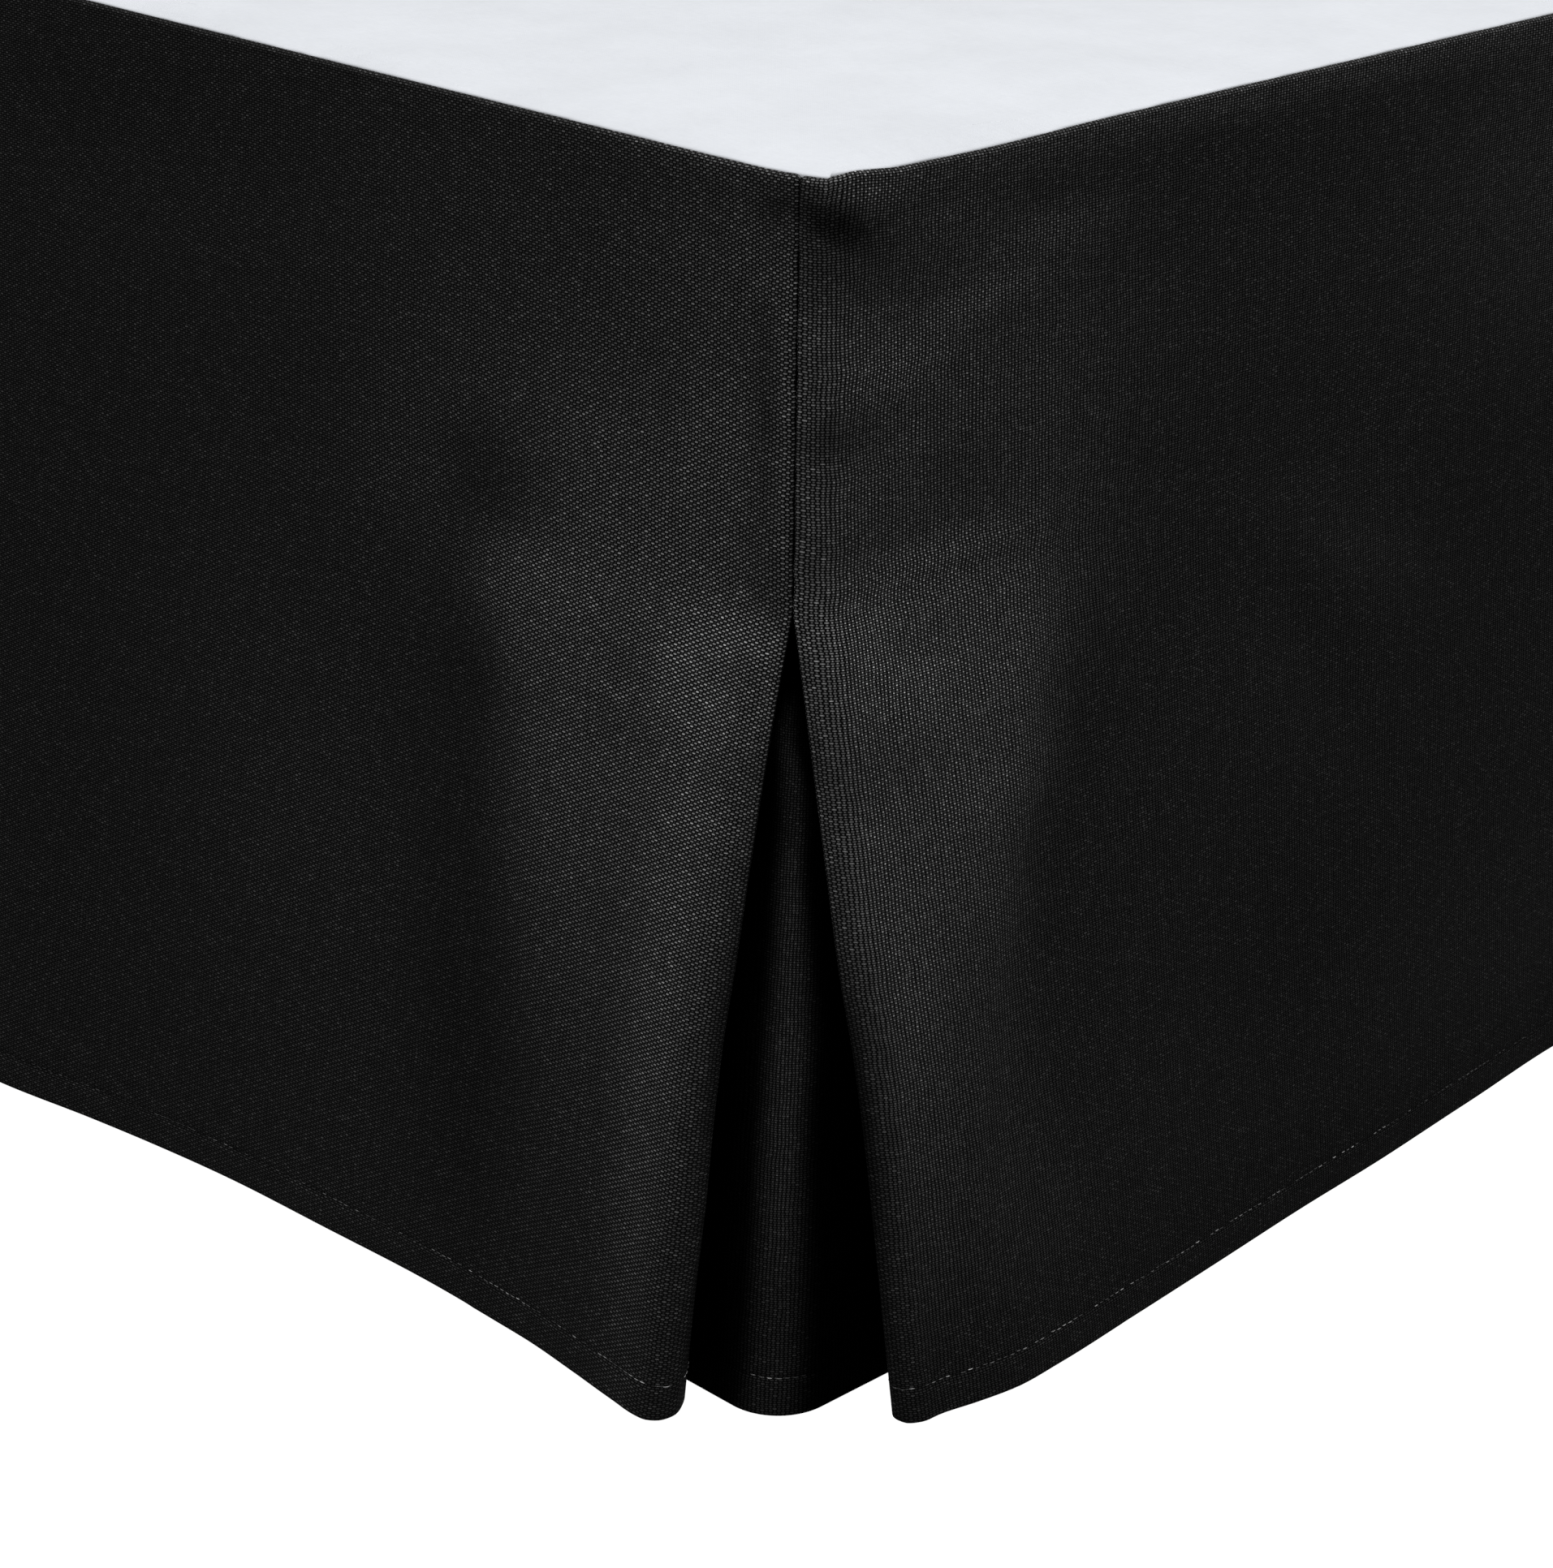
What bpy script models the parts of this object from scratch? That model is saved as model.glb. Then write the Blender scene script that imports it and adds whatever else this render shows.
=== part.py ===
"""Bed skirt with split, pleated foot corners, hanging round a plain bed base, at real size.

A white platform cloth lies on the base. Black drops hang from its two long edges and its foot edge.
At each foot corner the drops are sewn together at the top and part below in a split pleat, and an
insert of the same cloth, wrapped round the corner, shows in the split. The head end is open.

Frame, in metres: +Z up, floor at Z = 0, foot of the bed at -Y, head at +Y, middle of the floor box
at X = Y = 0. A corner has plan coordinates of its own: u outwards from the long side, v outwards
from the foot side, both nought at the sharp corner of the seam line.
"""
from collections import namedtuple
from math import cos, pi, radians, sin

import bmesh
import bpy
import numpy as np

# Bed and drop
BED_WIDTH = 1.524
BED_LENGTH = 2.032
DROP = 0.381                 # seam to hem
HEM_CLEAR = 0.009            # hem to floor
SEAM_HEIGHT = DROP + HEM_CLEAR
FOOT_REACH = 0.060           # furthest that the foot drop stands out at its hem

# Cloth
CLOTH = 0.0014
HEM_CLOTH = 0.0024           # turned-up hem, all its layers
HEM_DEPTH = 0.0105
HEM_RAMP = 0.0012            # over which the hem's layers begin
DECK_CLOTH = 0.0010
GAP = 0.0003
LAYER_GAP = 0.0008           # between cloth layers of the pleat

# Turn over the bed's edge, and round its foot corners
EDGE_RADIUS = 0.006
CORNER_RADIUS = 0.011

# Split pleat
SEWN = 0.1225                # seam length that is sewn shut
SEAM_TURN = radians(15)      # place of the corner seam round the corner, from the foot side
FOLD_RADIUS = CLOTH + LAYER_GAP / 2
RETURN_DEPTH = 0.074         # turned-back cloth behind each flap
FLAP_ROWS_END = 0.100        # cloth from the fold that the flap tables describe
FOOT_STEP_OF_WAVES = 0.046   # width of the columns past the flaps
LONG_STEP_OF_WAVES = 0.052

# Insert behind the split: how far its two wings stand out at the hem, and the bend between them
INSERT_FOOT_OUT = 0.0158
INSERT_LONG_OUT = -0.0042
INSERT_TOP_OUT = -2 * FOLD_RADIUS - LAYER_GAP
INSERT_TOP_RADIUS = 0.008
INSERT_HEM_RADIUS = 0.019
INSERT_WING = (0.096, 0.066, 0.044)
INSERT_TURNS = tuple(radians(15) * i for i in range(7))

# Bed base
BASE_CLEAR = 0.008           # seam line to the side of the base
BASE_CORNER = 0.014
BASE_EDGE = 0.006
LEG_HEIGHT = 0.150
LEG_TOP_RADIUS = 0.030
LEG_FOOT_RADIUS = 0.023
LEG_INSET = 0.110
LEG_SIDES = 16

HALF_WIDTH = BED_WIDTH / 2
HALF_LENGTH = BED_LENGTH / 2
BED_MIDDLE_Y = FOOT_REACH / 2
RETURN_BACK = 2 * FOLD_RADIUS
SEMI_FOLD = FOLD_RADIUS * pi / 2

Place = namedtuple("Place", "along out")

# Hem of each flap in plan, from the end of the turned-back cloth, round the fold, on to the front
FOOT_FLAP_HEM = (
    Place(along=0.0980, out=0.0174),
    Place(along=0.0700, out=0.0172),
    Place(along=0.0520, out=0.0172),
    Place(along=0.0440, out=0.0180),
    Place(along=0.0384, out=0.0215),
    Place(along=0.0335, out=0.0268),
    Place(along=0.0308, out=0.0325),
    Place(along=0.0318, out=0.0376),
    Place(along=0.0352, out=0.0405),
    Place(along=0.0405, out=0.0413),
    Place(along=0.0505, out=0.0406),
    Place(along=0.0720, out=0.0383),
    Place(along=0.0940, out=0.0363),
    Place(along=0.1140, out=0.0358),
    Place(along=0.1560, out=0.0352),
)
FOOT_FOLD_ROW = 6
LONG_FLAP_HEM = (
    Place(along=0.0980, out=-0.0022),
    Place(along=0.0680, out=-0.0022),
    Place(along=0.0480, out=-0.0018),
    Place(along=0.0360, out=0.0010),
    Place(along=0.0270, out=0.0062),
    Place(along=0.0180, out=0.0112),
    Place(along=0.0132, out=0.0160),
    Place(along=0.0138, out=0.0202),
    Place(along=0.0176, out=0.0230),
    Place(along=0.0260, out=0.0240),
    Place(along=0.0398, out=0.0271),
    Place(along=0.0554, out=0.0296),
    Place(along=0.0745, out=0.0291),
    Place(along=0.1168, out=0.0254),
    Place(along=0.1612, out=0.0215),
)
LONG_FOLD_ROW = 6

# How far the hem stands out along each side, from the corner on
FOOT_FLARE = (
    Place(along=0.072, out=0.0383),
    Place(along=0.114, out=0.0358),
    Place(along=0.156, out=0.0352),
    Place(along=0.197, out=0.0365),
    Place(along=0.239, out=0.0390),
    Place(along=0.279, out=0.0434),
    Place(along=0.320, out=0.0489),
    Place(along=0.361, out=0.0558),
    Place(along=0.415, out=FOOT_REACH),
    Place(along=0.500, out=0.0530),
    Place(along=0.600, out=0.0370),
    Place(along=0.690, out=0.0340),
    Place(along=0.790, out=0.0440),
    Place(along=0.890, out=0.0500),
    Place(along=0.990, out=0.0420),
    Place(along=1.090, out=0.0330),
    Place(along=1.190, out=0.0360),
    Place(along=1.290, out=0.0420),
    Place(along=1.370, out=0.0390),
    Place(along=1.452, out=0.0383),
)
RIGHT_FLARE = (
    Place(along=0.0745, out=0.0291),
    Place(along=0.117, out=0.0254),
    Place(along=0.161, out=0.0215),
    Place(along=0.208, out=0.0170),
    Place(along=0.256, out=0.0138),
    Place(along=0.309, out=0.0081),
    Place(along=0.367, out=0.0025),
    Place(along=0.430, out=0.0015),
    Place(along=0.510, out=0.0080),
    Place(along=0.610, out=0.0190),
    Place(along=0.720, out=0.0150),
    Place(along=0.830, out=0.0060),
    Place(along=0.950, out=0.0140),
    Place(along=1.070, out=0.0220),
    Place(along=1.190, out=0.0120),
    Place(along=1.310, out=0.0060),
    Place(along=1.430, out=0.0160),
    Place(along=1.560, out=0.0200),
    Place(along=1.690, out=0.0090),
    Place(along=1.820, out=0.0110),
    Place(along=1.930, out=0.0180),
    Place(along=2.032, out=0.0150),
)
LEFT_FLARE = (
    Place(along=0.0745, out=0.0291),
    Place(along=0.130, out=0.0240),
    Place(along=0.200, out=0.0150),
    Place(along=0.290, out=0.0090),
    Place(along=0.390, out=0.0140),
    Place(along=0.490, out=0.0220),
    Place(along=0.600, out=0.0180),
    Place(along=0.710, out=0.0070),
    Place(along=0.830, out=0.0050),
    Place(along=0.950, out=0.0150),
    Place(along=1.060, out=0.0200),
    Place(along=1.180, out=0.0120),
    Place(along=1.310, out=0.0050),
    Place(along=1.440, out=0.0110),
    Place(along=1.560, out=0.0190),
    Place(along=1.700, out=0.0160),
    Place(along=1.830, out=0.0060),
    Place(along=1.940, out=0.0080),
    Place(along=2.032, out=0.0140),
)
FOOT_SEAM_OUT = 0.0065       # how far the sewn corner leans out on each side, at the head of the split
LONG_SEAM_OUT = 0.0015
SEAM_LEAN_WIDTH = 0.130      # cloth beside the corner over which its lean passes into the drop's

# Edge of the part of each flap that lies raised over the pleat, down the drop
StepEdge = namedtuple("StepEdge", "down along")
FOOT_STEP = (
    StepEdge(down=0.090, along=0.150),
    StepEdge(down=0.131, along=0.135),
    StepEdge(down=0.178, along=0.120),
    StepEdge(down=0.257, along=0.106),
    StepEdge(down=0.381, along=0.094),
)
LONG_STEP = (
    StepEdge(down=0.100, along=0.092),
    StepEdge(down=0.138, along=0.088),
    StepEdge(down=0.188, along=0.080),
    StepEdge(down=0.240, along=0.068),
    StepEdge(down=0.381, along=0.050),
)
STEP_HEIGHT = 0.0022
STEP_WIDTH = 0.018
DRIFT_FADE = 0.30            # length over which the columns' slant by the split dies out


# Interpolation ------------------------------------------------------------------------------------

def smooth_table(table, at):
    """A smooth curve through a table's rows, read at the given places of its first column."""
    rows = np.array(table, float)
    x, y = rows[:, 0], rows[:, 1]
    slope = np.gradient(y, x)
    at = np.clip(at, x[0], x[-1])
    i = np.clip(np.searchsorted(x, at) - 1, 0, len(x) - 2)
    width = x[i + 1] - x[i]
    t = (at - x[i]) / width
    return ((2 * t ** 3 - 3 * t ** 2 + 1) * y[i] + (t ** 3 - 2 * t ** 2 + t) * width * slope[i]
            + (3 * t ** 2 - 2 * t ** 3) * y[i + 1] + (t ** 3 - t ** 2) * width * slope[i + 1])


def smooth_path(rows, middle_row, at):
    """Along and out of a smooth path through the rows, at cloth lengths from its middle row."""
    points = np.array(rows, float)
    length = np.concatenate([[0], np.cumsum(np.linalg.norm(np.diff(points, axis=0), axis=1))])
    length -= length[middle_row]
    return [smooth_table(np.column_stack([length, points[:, axis]]), at) for axis in (0, 1)]


def ease(t):
    """A soft step from 0 to 1."""
    t = np.clip(t, 0, 1)
    return t * t * (3 - 2 * t)


def share_of(down, full):
    """Share of the lean that the cloth has at a depth, from the turn over the edge to a full depth."""
    return np.clip((down - EDGE_RADIUS) / (full - EDGE_RADIUS), 0, None)


# Plan of a drop near a foot corner ----------------------------------------------------------------

class Half:
    """One drop from a foot corner on. Its places are along the side and out of it, by the cloth's
    length from the middle of its fold and by depth below the seam; both are given as arrays."""

    def __init__(self, flap, fold_row, flare, seam_angle, own_out, other_out, step):
        self.flap = flap
        self.fold_row = fold_row
        self.flare = flare
        self.seam_angle = seam_angle      # from this side's outward direction to the corner seam
        self.own_out = own_out
        self.other_out = other_out
        self.step = step

    def sewn(self, cloth, down):
        """Places where the corner is sewn shut, or would be if it were."""
        share = share_of(down, SEWN)
        middle_along = CORNER_RADIUS - self.other_out * share
        middle_out = self.own_out * share - CORNER_RADIUS

        turn = pi / 2 - cloth / FOLD_RADIUS
        fold_radius = CORNER_RADIUS - FOLD_RADIUS + FOLD_RADIUS * np.cos(turn)
        aside = FOLD_RADIUS + GAP - FOLD_RADIUS * np.sin(turn)
        across, outward = sin(self.seam_angle), cos(self.seam_angle)
        fold = (middle_along - fold_radius * across + aside * outward,
                middle_out + fold_radius * outward + aside * across)

        radius = np.where(cloth > 0, CORNER_RADIUS, CORNER_RADIUS - RETURN_BACK)
        start = self.seam_angle - (FOLD_RADIUS + GAP) / radius
        past = np.abs(cloth) - SEMI_FOLD
        arc = np.maximum(start, 0) * radius
        angle = start - past / radius
        bend = (middle_along - radius * np.sin(angle), middle_out + radius * np.cos(angle))

        along = middle_along - np.minimum(start, 0) * radius + past - arc
        spread = ease((along - CORNER_RADIUS) / SEAM_LEAN_WIDTH)
        front = ((1 - spread) * self.own_out * share
                 + spread * smooth_table(self.flare, along) * share_of(down, DROP))
        side = (along, np.where(cloth > 0, front, middle_out + radius))

        parts = (np.abs(cloth) < SEMI_FOLD, past < arc)
        return np.stack([np.select(np.broadcast_arrays(*parts), np.broadcast_arrays(fold[i], bend[i]), side[i])
                         for i in (0, 1)], axis=-1)

    def hem(self, cloth):
        """Places at the hem."""
        flap = np.stack(smooth_path(self.flap, self.fold_row, np.minimum(cloth, FLAP_ROWS_END)), axis=-1)
        top = self.sewn(np.maximum(cloth, FLAP_ROWS_END), np.zeros(1))[..., 0]
        drift = flap[..., 0] - self.sewn(np.full_like(cloth, FLAP_ROWS_END), np.zeros(1))[..., 0]
        along = top + drift * np.exp(-(cloth - FLAP_ROWS_END) / DRIFT_FADE)
        rest = np.stack([along, smooth_table(self.flare, along)], axis=-1)
        return np.where((cloth <= FLAP_ROWS_END)[..., None], flap, rest)

    def places(self, cloth, down):
        """Places at any depth, with the raised part of the flap."""
        cloth, down = np.array(cloth)[None, :], np.array(down)[:, None]
        opened = np.clip((down - SEWN) / (DROP - SEWN), 0, 1)[..., None]
        spots = (1 - opened) * self.sewn(cloth, np.minimum(down, SEWN)) + opened * self.hem(cloth)
        raised = 1 - ease((spots[..., 0] - smooth_table(self.step, down)) / STEP_WIDTH + 0.5)
        shown = ease((down - 0.06) / 0.06) * ease((DROP - down) / 0.10) * ease(cloth / 0.03)
        spots[..., 1] += STEP_HEIGHT * (raised - 0.5) * shown
        return spots


def foot_half(flare):
    """The half of the foot drop that starts at a corner."""
    return Half(FOOT_FLAP_HEM, FOOT_FOLD_ROW, flare, SEAM_TURN, FOOT_SEAM_OUT, LONG_SEAM_OUT, FOOT_STEP)


def long_half(flare):
    """A whole long drop, from its foot corner to the head end."""
    return Half(LONG_FLAP_HEM, LONG_FOLD_ROW, flare, pi / 2 - SEAM_TURN, LONG_SEAM_OUT, FOOT_SEAM_OUT,
                LONG_STEP)


def top_start(half):
    """Difference between a place along the seam and the cloth length there, past the flap."""
    far = np.array([0.5])
    return half.sewn(far, np.zeros(1))[0, 0] - far[0]


# Places in the world ------------------------------------------------------------------------------

def from_corner(side, u, v):
    """World plan of corner coordinates, at the right (+1) or left (-1) foot corner."""
    return np.stack([side * (HALF_WIDTH + u), BED_MIDDLE_Y - HALF_LENGTH - v], axis=-1)


def turned_in(plan, angle, side):
    """Points of a drop's top edge row moved along the turn over the bed's edge, with their heights."""
    spot = np.stack([side * plan[:, 0] - HALF_WIDTH, BED_MIDDLE_Y - HALF_LENGTH - plan[:, 1]], axis=-1)
    centred = spot + CORNER_RADIUS
    at_corner = (centred > 0).all(axis=1)
    size = np.linalg.norm(centred, axis=1)
    straight = np.where((spot[:, 0] > spot[:, 1])[:, None], [1.0, 0.0], [0.0, 1.0])
    outward = np.where(at_corner[:, None], centred / size[:, None], straight)
    out = np.where(at_corner, size - CORNER_RADIUS, spot.max(axis=1))
    radius = EDGE_RADIUS + out
    spot = spot + outward * (radius * (sin(angle) - 1))[:, None]
    height = SEAM_HEIGHT - EDGE_RADIUS + radius * cos(angle)
    return np.column_stack([from_corner(side, spot[:, 0], spot[:, 1]), height])


def side_normals(plan):
    """Unit normals to the left of each row's path, lengthened at its bends to keep the thickness."""
    step = np.diff(plan, axis=1)
    step /= np.linalg.norm(step, axis=2, keepdims=True)
    before = np.concatenate([step[:, :1], step], axis=1)
    after = np.concatenate([step, step[:, -1:]], axis=1)
    middle = before + after
    middle /= np.linalg.norm(middle, axis=2, keepdims=True)
    bend = np.maximum((middle * after).sum(axis=2, keepdims=True), 0.8)
    return np.stack([-middle[..., 1], middle[..., 0]], axis=2) / bend


# Meshes -------------------------------------------------------------------------------------------

def material(name, colour, roughness):
    """A plain surface of one colour."""
    made = bpy.data.materials.new(name)
    made.use_nodes = True
    shader = made.node_tree.nodes["Principled BSDF"]
    shader.inputs["Base Color"].default_value = (*colour, 1.0)
    shader.inputs["Roughness"].default_value = roughness
    shader.inputs["Metallic"].default_value = 0.0
    return made


def add_object(name, mesh_data, surface):
    """Puts a bmesh into the scene as an object with its faces pointing out."""
    bmesh.ops.recalc_face_normals(mesh_data, faces=mesh_data.faces)
    mesh = bpy.data.meshes.new(name)
    mesh_data.to_mesh(mesh)
    mesh_data.free()
    mesh.materials.append(surface)
    made = bpy.data.objects.new(name, mesh)
    bpy.context.scene.collection.objects.link(made)
    return made


def closed_sheet(name, fair, back, surface):
    """A closed sheet between two grids of points, its fair face and its back."""
    shell = bmesh.new()
    grids = [[[shell.verts.new(p) for p in row] for row in grid] for grid in (fair, back)]
    rows, columns = len(fair), len(fair[0])
    for grid in grids:
        for j in range(rows - 1):
            for k in range(columns - 1):
                shell.faces.new((grid[j][k], grid[j][k + 1], grid[j + 1][k + 1], grid[j + 1][k]))
    front, rear = grids
    for j in (0, rows - 1):
        for k in range(columns - 1):
            shell.faces.new((front[j][k], front[j][k + 1], rear[j][k + 1], rear[j][k]))
    for k in (0, columns - 1):
        for j in range(rows - 1):
            shell.faces.new((front[j][k], front[j + 1][k], rear[j + 1][k], rear[j][k]))
    return add_object(name, shell, surface)


def with_height(plan, height):
    """A row of plan points at one height."""
    return np.column_stack([plan, np.full(len(plan), height)])


def sheet_from_plan(name, plan, downs, fair_sign, thickness, curl_side, surface):
    """A hanging sheet from its fair face's plan at each depth, turned over the bed's edge at its top."""
    rear = plan - fair_sign * side_normals(plan) * thickness[..., None]
    faces = []
    for face in (plan, rear):
        turns = [] if curl_side is None else [turned_in(face[0], a, curl_side) for a in EDGE_TURNS]
        faces.append(turns + [with_height(row, SEAM_HEIGHT - down) for row, down in zip(face, downs)])
    return closed_sheet(name, faces[0], faces[1], surface)


EDGE_TURNS = (0, pi / 6, pi / 3)
HEM_DOWNS = (DROP - HEM_DEPTH - HEM_RAMP, DROP - HEM_DEPTH, DROP)
DOWNS = (EDGE_RADIUS, 0.035, 0.070, 0.098, SEWN, 0.150, 0.190, 0.235, 0.280, 0.325) + HEM_DOWNS
INSERT_DOWNS = (EDGE_RADIUS + GAP, 0.060, SEWN, 0.190, 0.260, 0.325) + HEM_DOWNS
RETURN_CLOTHS = (-RETURN_DEPTH, -0.056, -0.038, -0.024, -0.0140, -0.0104, -0.0080, -0.0055)
FOLD_CLOTHS = (-SEMI_FOLD, -SEMI_FOLD / 2, 0.0, SEMI_FOLD / 2, SEMI_FOLD)
FLAP_CLOTHS = (0.0062, 0.0092, 0.0123, 0.0157, 0.021, 0.030, 0.042, 0.058, 0.074, 0.088, FLAP_ROWS_END,
               0.114, 0.130, 0.150, 0.180, 0.215)


def drop_cloths(end, wave_step):
    """Cloth lengths of a drop's columns: close round its fold and flap, wider further on."""
    near = RETURN_CLOTHS + FOLD_CLOTHS + FLAP_CLOTHS
    count = max(int(round((end - near[-1]) / wave_step)), 1)
    return list(near) + [near[-1] + (end - near[-1]) * (i + 1) / count for i in range(count)]


def hem_thickness(downs, columns):
    """Cloth thickness at each place: the hem's layers at the bottom."""
    per_row = [HEM_CLOTH if down >= DROP - HEM_DEPTH else CLOTH for down in downs]
    return np.repeat(np.array(per_row)[:, None], columns, axis=1)


def half_plan(half, cloths, side, is_foot):
    """World plan of a half's columns at each depth."""
    places = half.places(cloths, DOWNS)
    along, out = places[..., 0], places[..., 1]
    return from_corner(side, -along, out) if is_foot else from_corner(side, out, -along)


def long_drop(name, flare, side, surface):
    """A drop along a long side."""
    half = long_half(flare)
    end = BED_LENGTH - top_start(half)
    cloths = drop_cloths(end - HEM_DEPTH - HEM_RAMP, LONG_STEP_OF_WAVES)
    cloths += [end - HEM_DEPTH, end]
    plan = half_plan(half, cloths, side, is_foot=False)
    plan[:, -1, 1] = BED_MIDDLE_Y + HALF_LENGTH
    thickness = hem_thickness(DOWNS, len(cloths))
    thickness[:, -2:] = HEM_CLOTH
    return sheet_from_plan(name, plan, DOWNS, -side, thickness, np.full(len(cloths), side), surface)


def foot_drop(surface):
    """The drop across the foot, from the right corner to the left one."""
    right = foot_half(FOOT_FLARE)
    mirrored = tuple(Place(BED_WIDTH - row.along, row.out) for row in reversed(FOOT_FLARE))
    left = foot_half(mirrored)
    cloths = drop_cloths(HALF_WIDTH - top_start(right), FOOT_STEP_OF_WAVES)
    right_plan = half_plan(right, cloths, 1, is_foot=True)
    left_plan = half_plan(left, cloths[:-1], -1, is_foot=True)
    plan = np.concatenate([right_plan, left_plan[:, ::-1]], axis=1)
    sides = np.array([1] * len(cloths) + [-1] * (len(cloths) - 1))
    return sheet_from_plan("drop_foot", plan, DOWNS, 1, hem_thickness(DOWNS, plan.shape[1]), sides, surface)


def pleat_insert(name, side, surface):
    """The strip behind the split, wrapped round the corner."""
    plan = []
    for down in INSERT_DOWNS:
        share = share_of(down, DROP)
        foot_out = INSERT_TOP_OUT + (INSERT_FOOT_OUT - INSERT_TOP_OUT) * share
        long_out = INSERT_TOP_OUT + (INSERT_LONG_OUT - INSERT_TOP_OUT) * share
        radius = INSERT_TOP_RADIUS + (INSERT_HEM_RADIUS - INSERT_TOP_RADIUS) * share
        row = [(-along, foot_out) for along in INSERT_WING]
        row += [(long_out - radius * (1 - sin(t)), foot_out - radius * (1 - cos(t))) for t in INSERT_TURNS]
        row += [(long_out, -along) for along in reversed(INSERT_WING)]
        u, v = np.array(row).T
        plan.append(from_corner(side, u, v))
    plan = np.array(plan)
    thickness = hem_thickness(INSERT_DOWNS, plan.shape[1])
    return sheet_from_plan(name, plan, INSERT_DOWNS, -side, thickness, None, surface)


def rounded_slab(name, half_x, half_y, y_middle, corner, profile, surface):
    """A slab with round corners in plan; the profile's rows are its inset at each height."""
    slab = bmesh.new()
    rings = []
    for inset, height in profile:
        radius = max(corner - inset, 0.001)
        ring = []
        for quarter, (sx, sy) in enumerate(((1, 1), (-1, 1), (-1, -1), (1, -1))):
            for i in range(5):
                angle = (quarter + i / 4) * pi / 2
                x = sx * (half_x - inset - radius) + radius * cos(angle)
                y = y_middle + sy * (half_y - inset - radius) + radius * sin(angle)
                ring.append(slab.verts.new((x, y, height)))
        rings.append(ring)
    count = len(rings[0])
    for low, high in zip(rings, rings[1:]):
        for i in range(count):
            slab.faces.new((low[i], low[(i + 1) % count], high[(i + 1) % count], high[i]))
    slab.faces.new(rings[0][::-1])
    slab.faces.new(rings[-1])
    return add_object(name, slab, surface)


def platform_cloth(surface):
    """The white cloth that lies on the base, up to the seams of the drops."""
    inset = EDGE_RADIUS + GAP
    half_x = HALF_WIDTH - inset
    foot_y = BED_MIDDLE_Y - HALF_LENGTH + inset
    head_y = BED_MIDDLE_Y + HALF_LENGTH - 0.016
    low = SEAM_HEIGHT - DECK_CLOTH
    profile = ((0, low), (0, SEAM_HEIGHT))
    return rounded_slab("platform_cloth", half_x, (head_y - foot_y) / 2, (head_y + foot_y) / 2,
                        CORNER_RADIUS - EDGE_RADIUS + GAP, profile, surface)


def bed_base(surface):
    """The plain box that carries the bed, with rounded edges."""
    low = LEG_HEIGHT
    high = SEAM_HEIGHT - DECK_CLOTH - GAP
    edge = BASE_EDGE
    profile = [(edge * (1 - sin(a)), low + edge * (1 - cos(a))) for a in (0, pi / 6, pi / 3, pi / 2)]
    profile += [(edge * (1 - cos(a)), high - edge * (1 - sin(a))) for a in (0, pi / 6, pi / 3, pi / 2)]
    return rounded_slab("bed_base", HALF_WIDTH - BASE_CLEAR, HALF_LENGTH - BASE_CLEAR, BED_MIDDLE_Y,
                        BASE_CORNER, profile, surface)


def leg(name, x, y, surface):
    """A turned leg that stands flat on the floor."""
    post = bmesh.new()
    height = LEG_HEIGHT - GAP
    bmesh.ops.create_cone(post, cap_ends=True, segments=LEG_SIDES, radius1=LEG_FOOT_RADIUS,
                          radius2=LEG_TOP_RADIUS, depth=height)
    made = add_object(name, post, surface)
    made.location = (x, y, height / 2)
    return made


def clear_scene():
    """Removes what a new file starts with."""
    for thing in list(bpy.data.objects):
        bpy.data.objects.remove(thing, do_unlink=True)


def build():
    """Makes every piece."""
    clear_scene()
    black = material("black_cloth", (0.010, 0.010, 0.011), 0.75)
    white = material("white_cloth", (0.80, 0.81, 0.84), 0.85)
    cover = material("base_cover", (0.55, 0.54, 0.52), 0.80)
    wood = material("leg_wood", (0.12, 0.07, 0.04), 0.45)
    platform_cloth(white)
    foot_drop(black)
    long_drop("drop_right", RIGHT_FLARE, 1, black)
    long_drop("drop_left", LEFT_FLARE, -1, black)
    pleat_insert("pleat_insert_right", 1, black)
    pleat_insert("pleat_insert_left", -1, black)
    bed_base(cover)
    leg_x = HALF_WIDTH - LEG_INSET
    leg_y = HALF_LENGTH - LEG_INSET
    for row, offset in (("foot", -leg_y), ("middle", 0.0), ("head", leg_y)):
        for column, side in (("left", -1), ("right", 1)):
            leg(f"leg_{row}_{column}", side * leg_x, BED_MIDDLE_Y + offset, wood)


build()
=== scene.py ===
"""Looks of a bed skirt with split, pleated foot corners on a plain bed base.

The cloth hangs as in the frame's solids, in finer folds: black plain-weave drops round a white
platform cloth. Metres, +Z up, foot of the bed at -Y. Corner coordinates are u, outwards from the
long side, and v, outwards from the foot side, both nought at the sharp corner of the seam line.
"""
from collections import namedtuple
from math import cos, pi, radians, sin

import bpy
import numpy as np
from mathutils import Matrix, Vector


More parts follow.
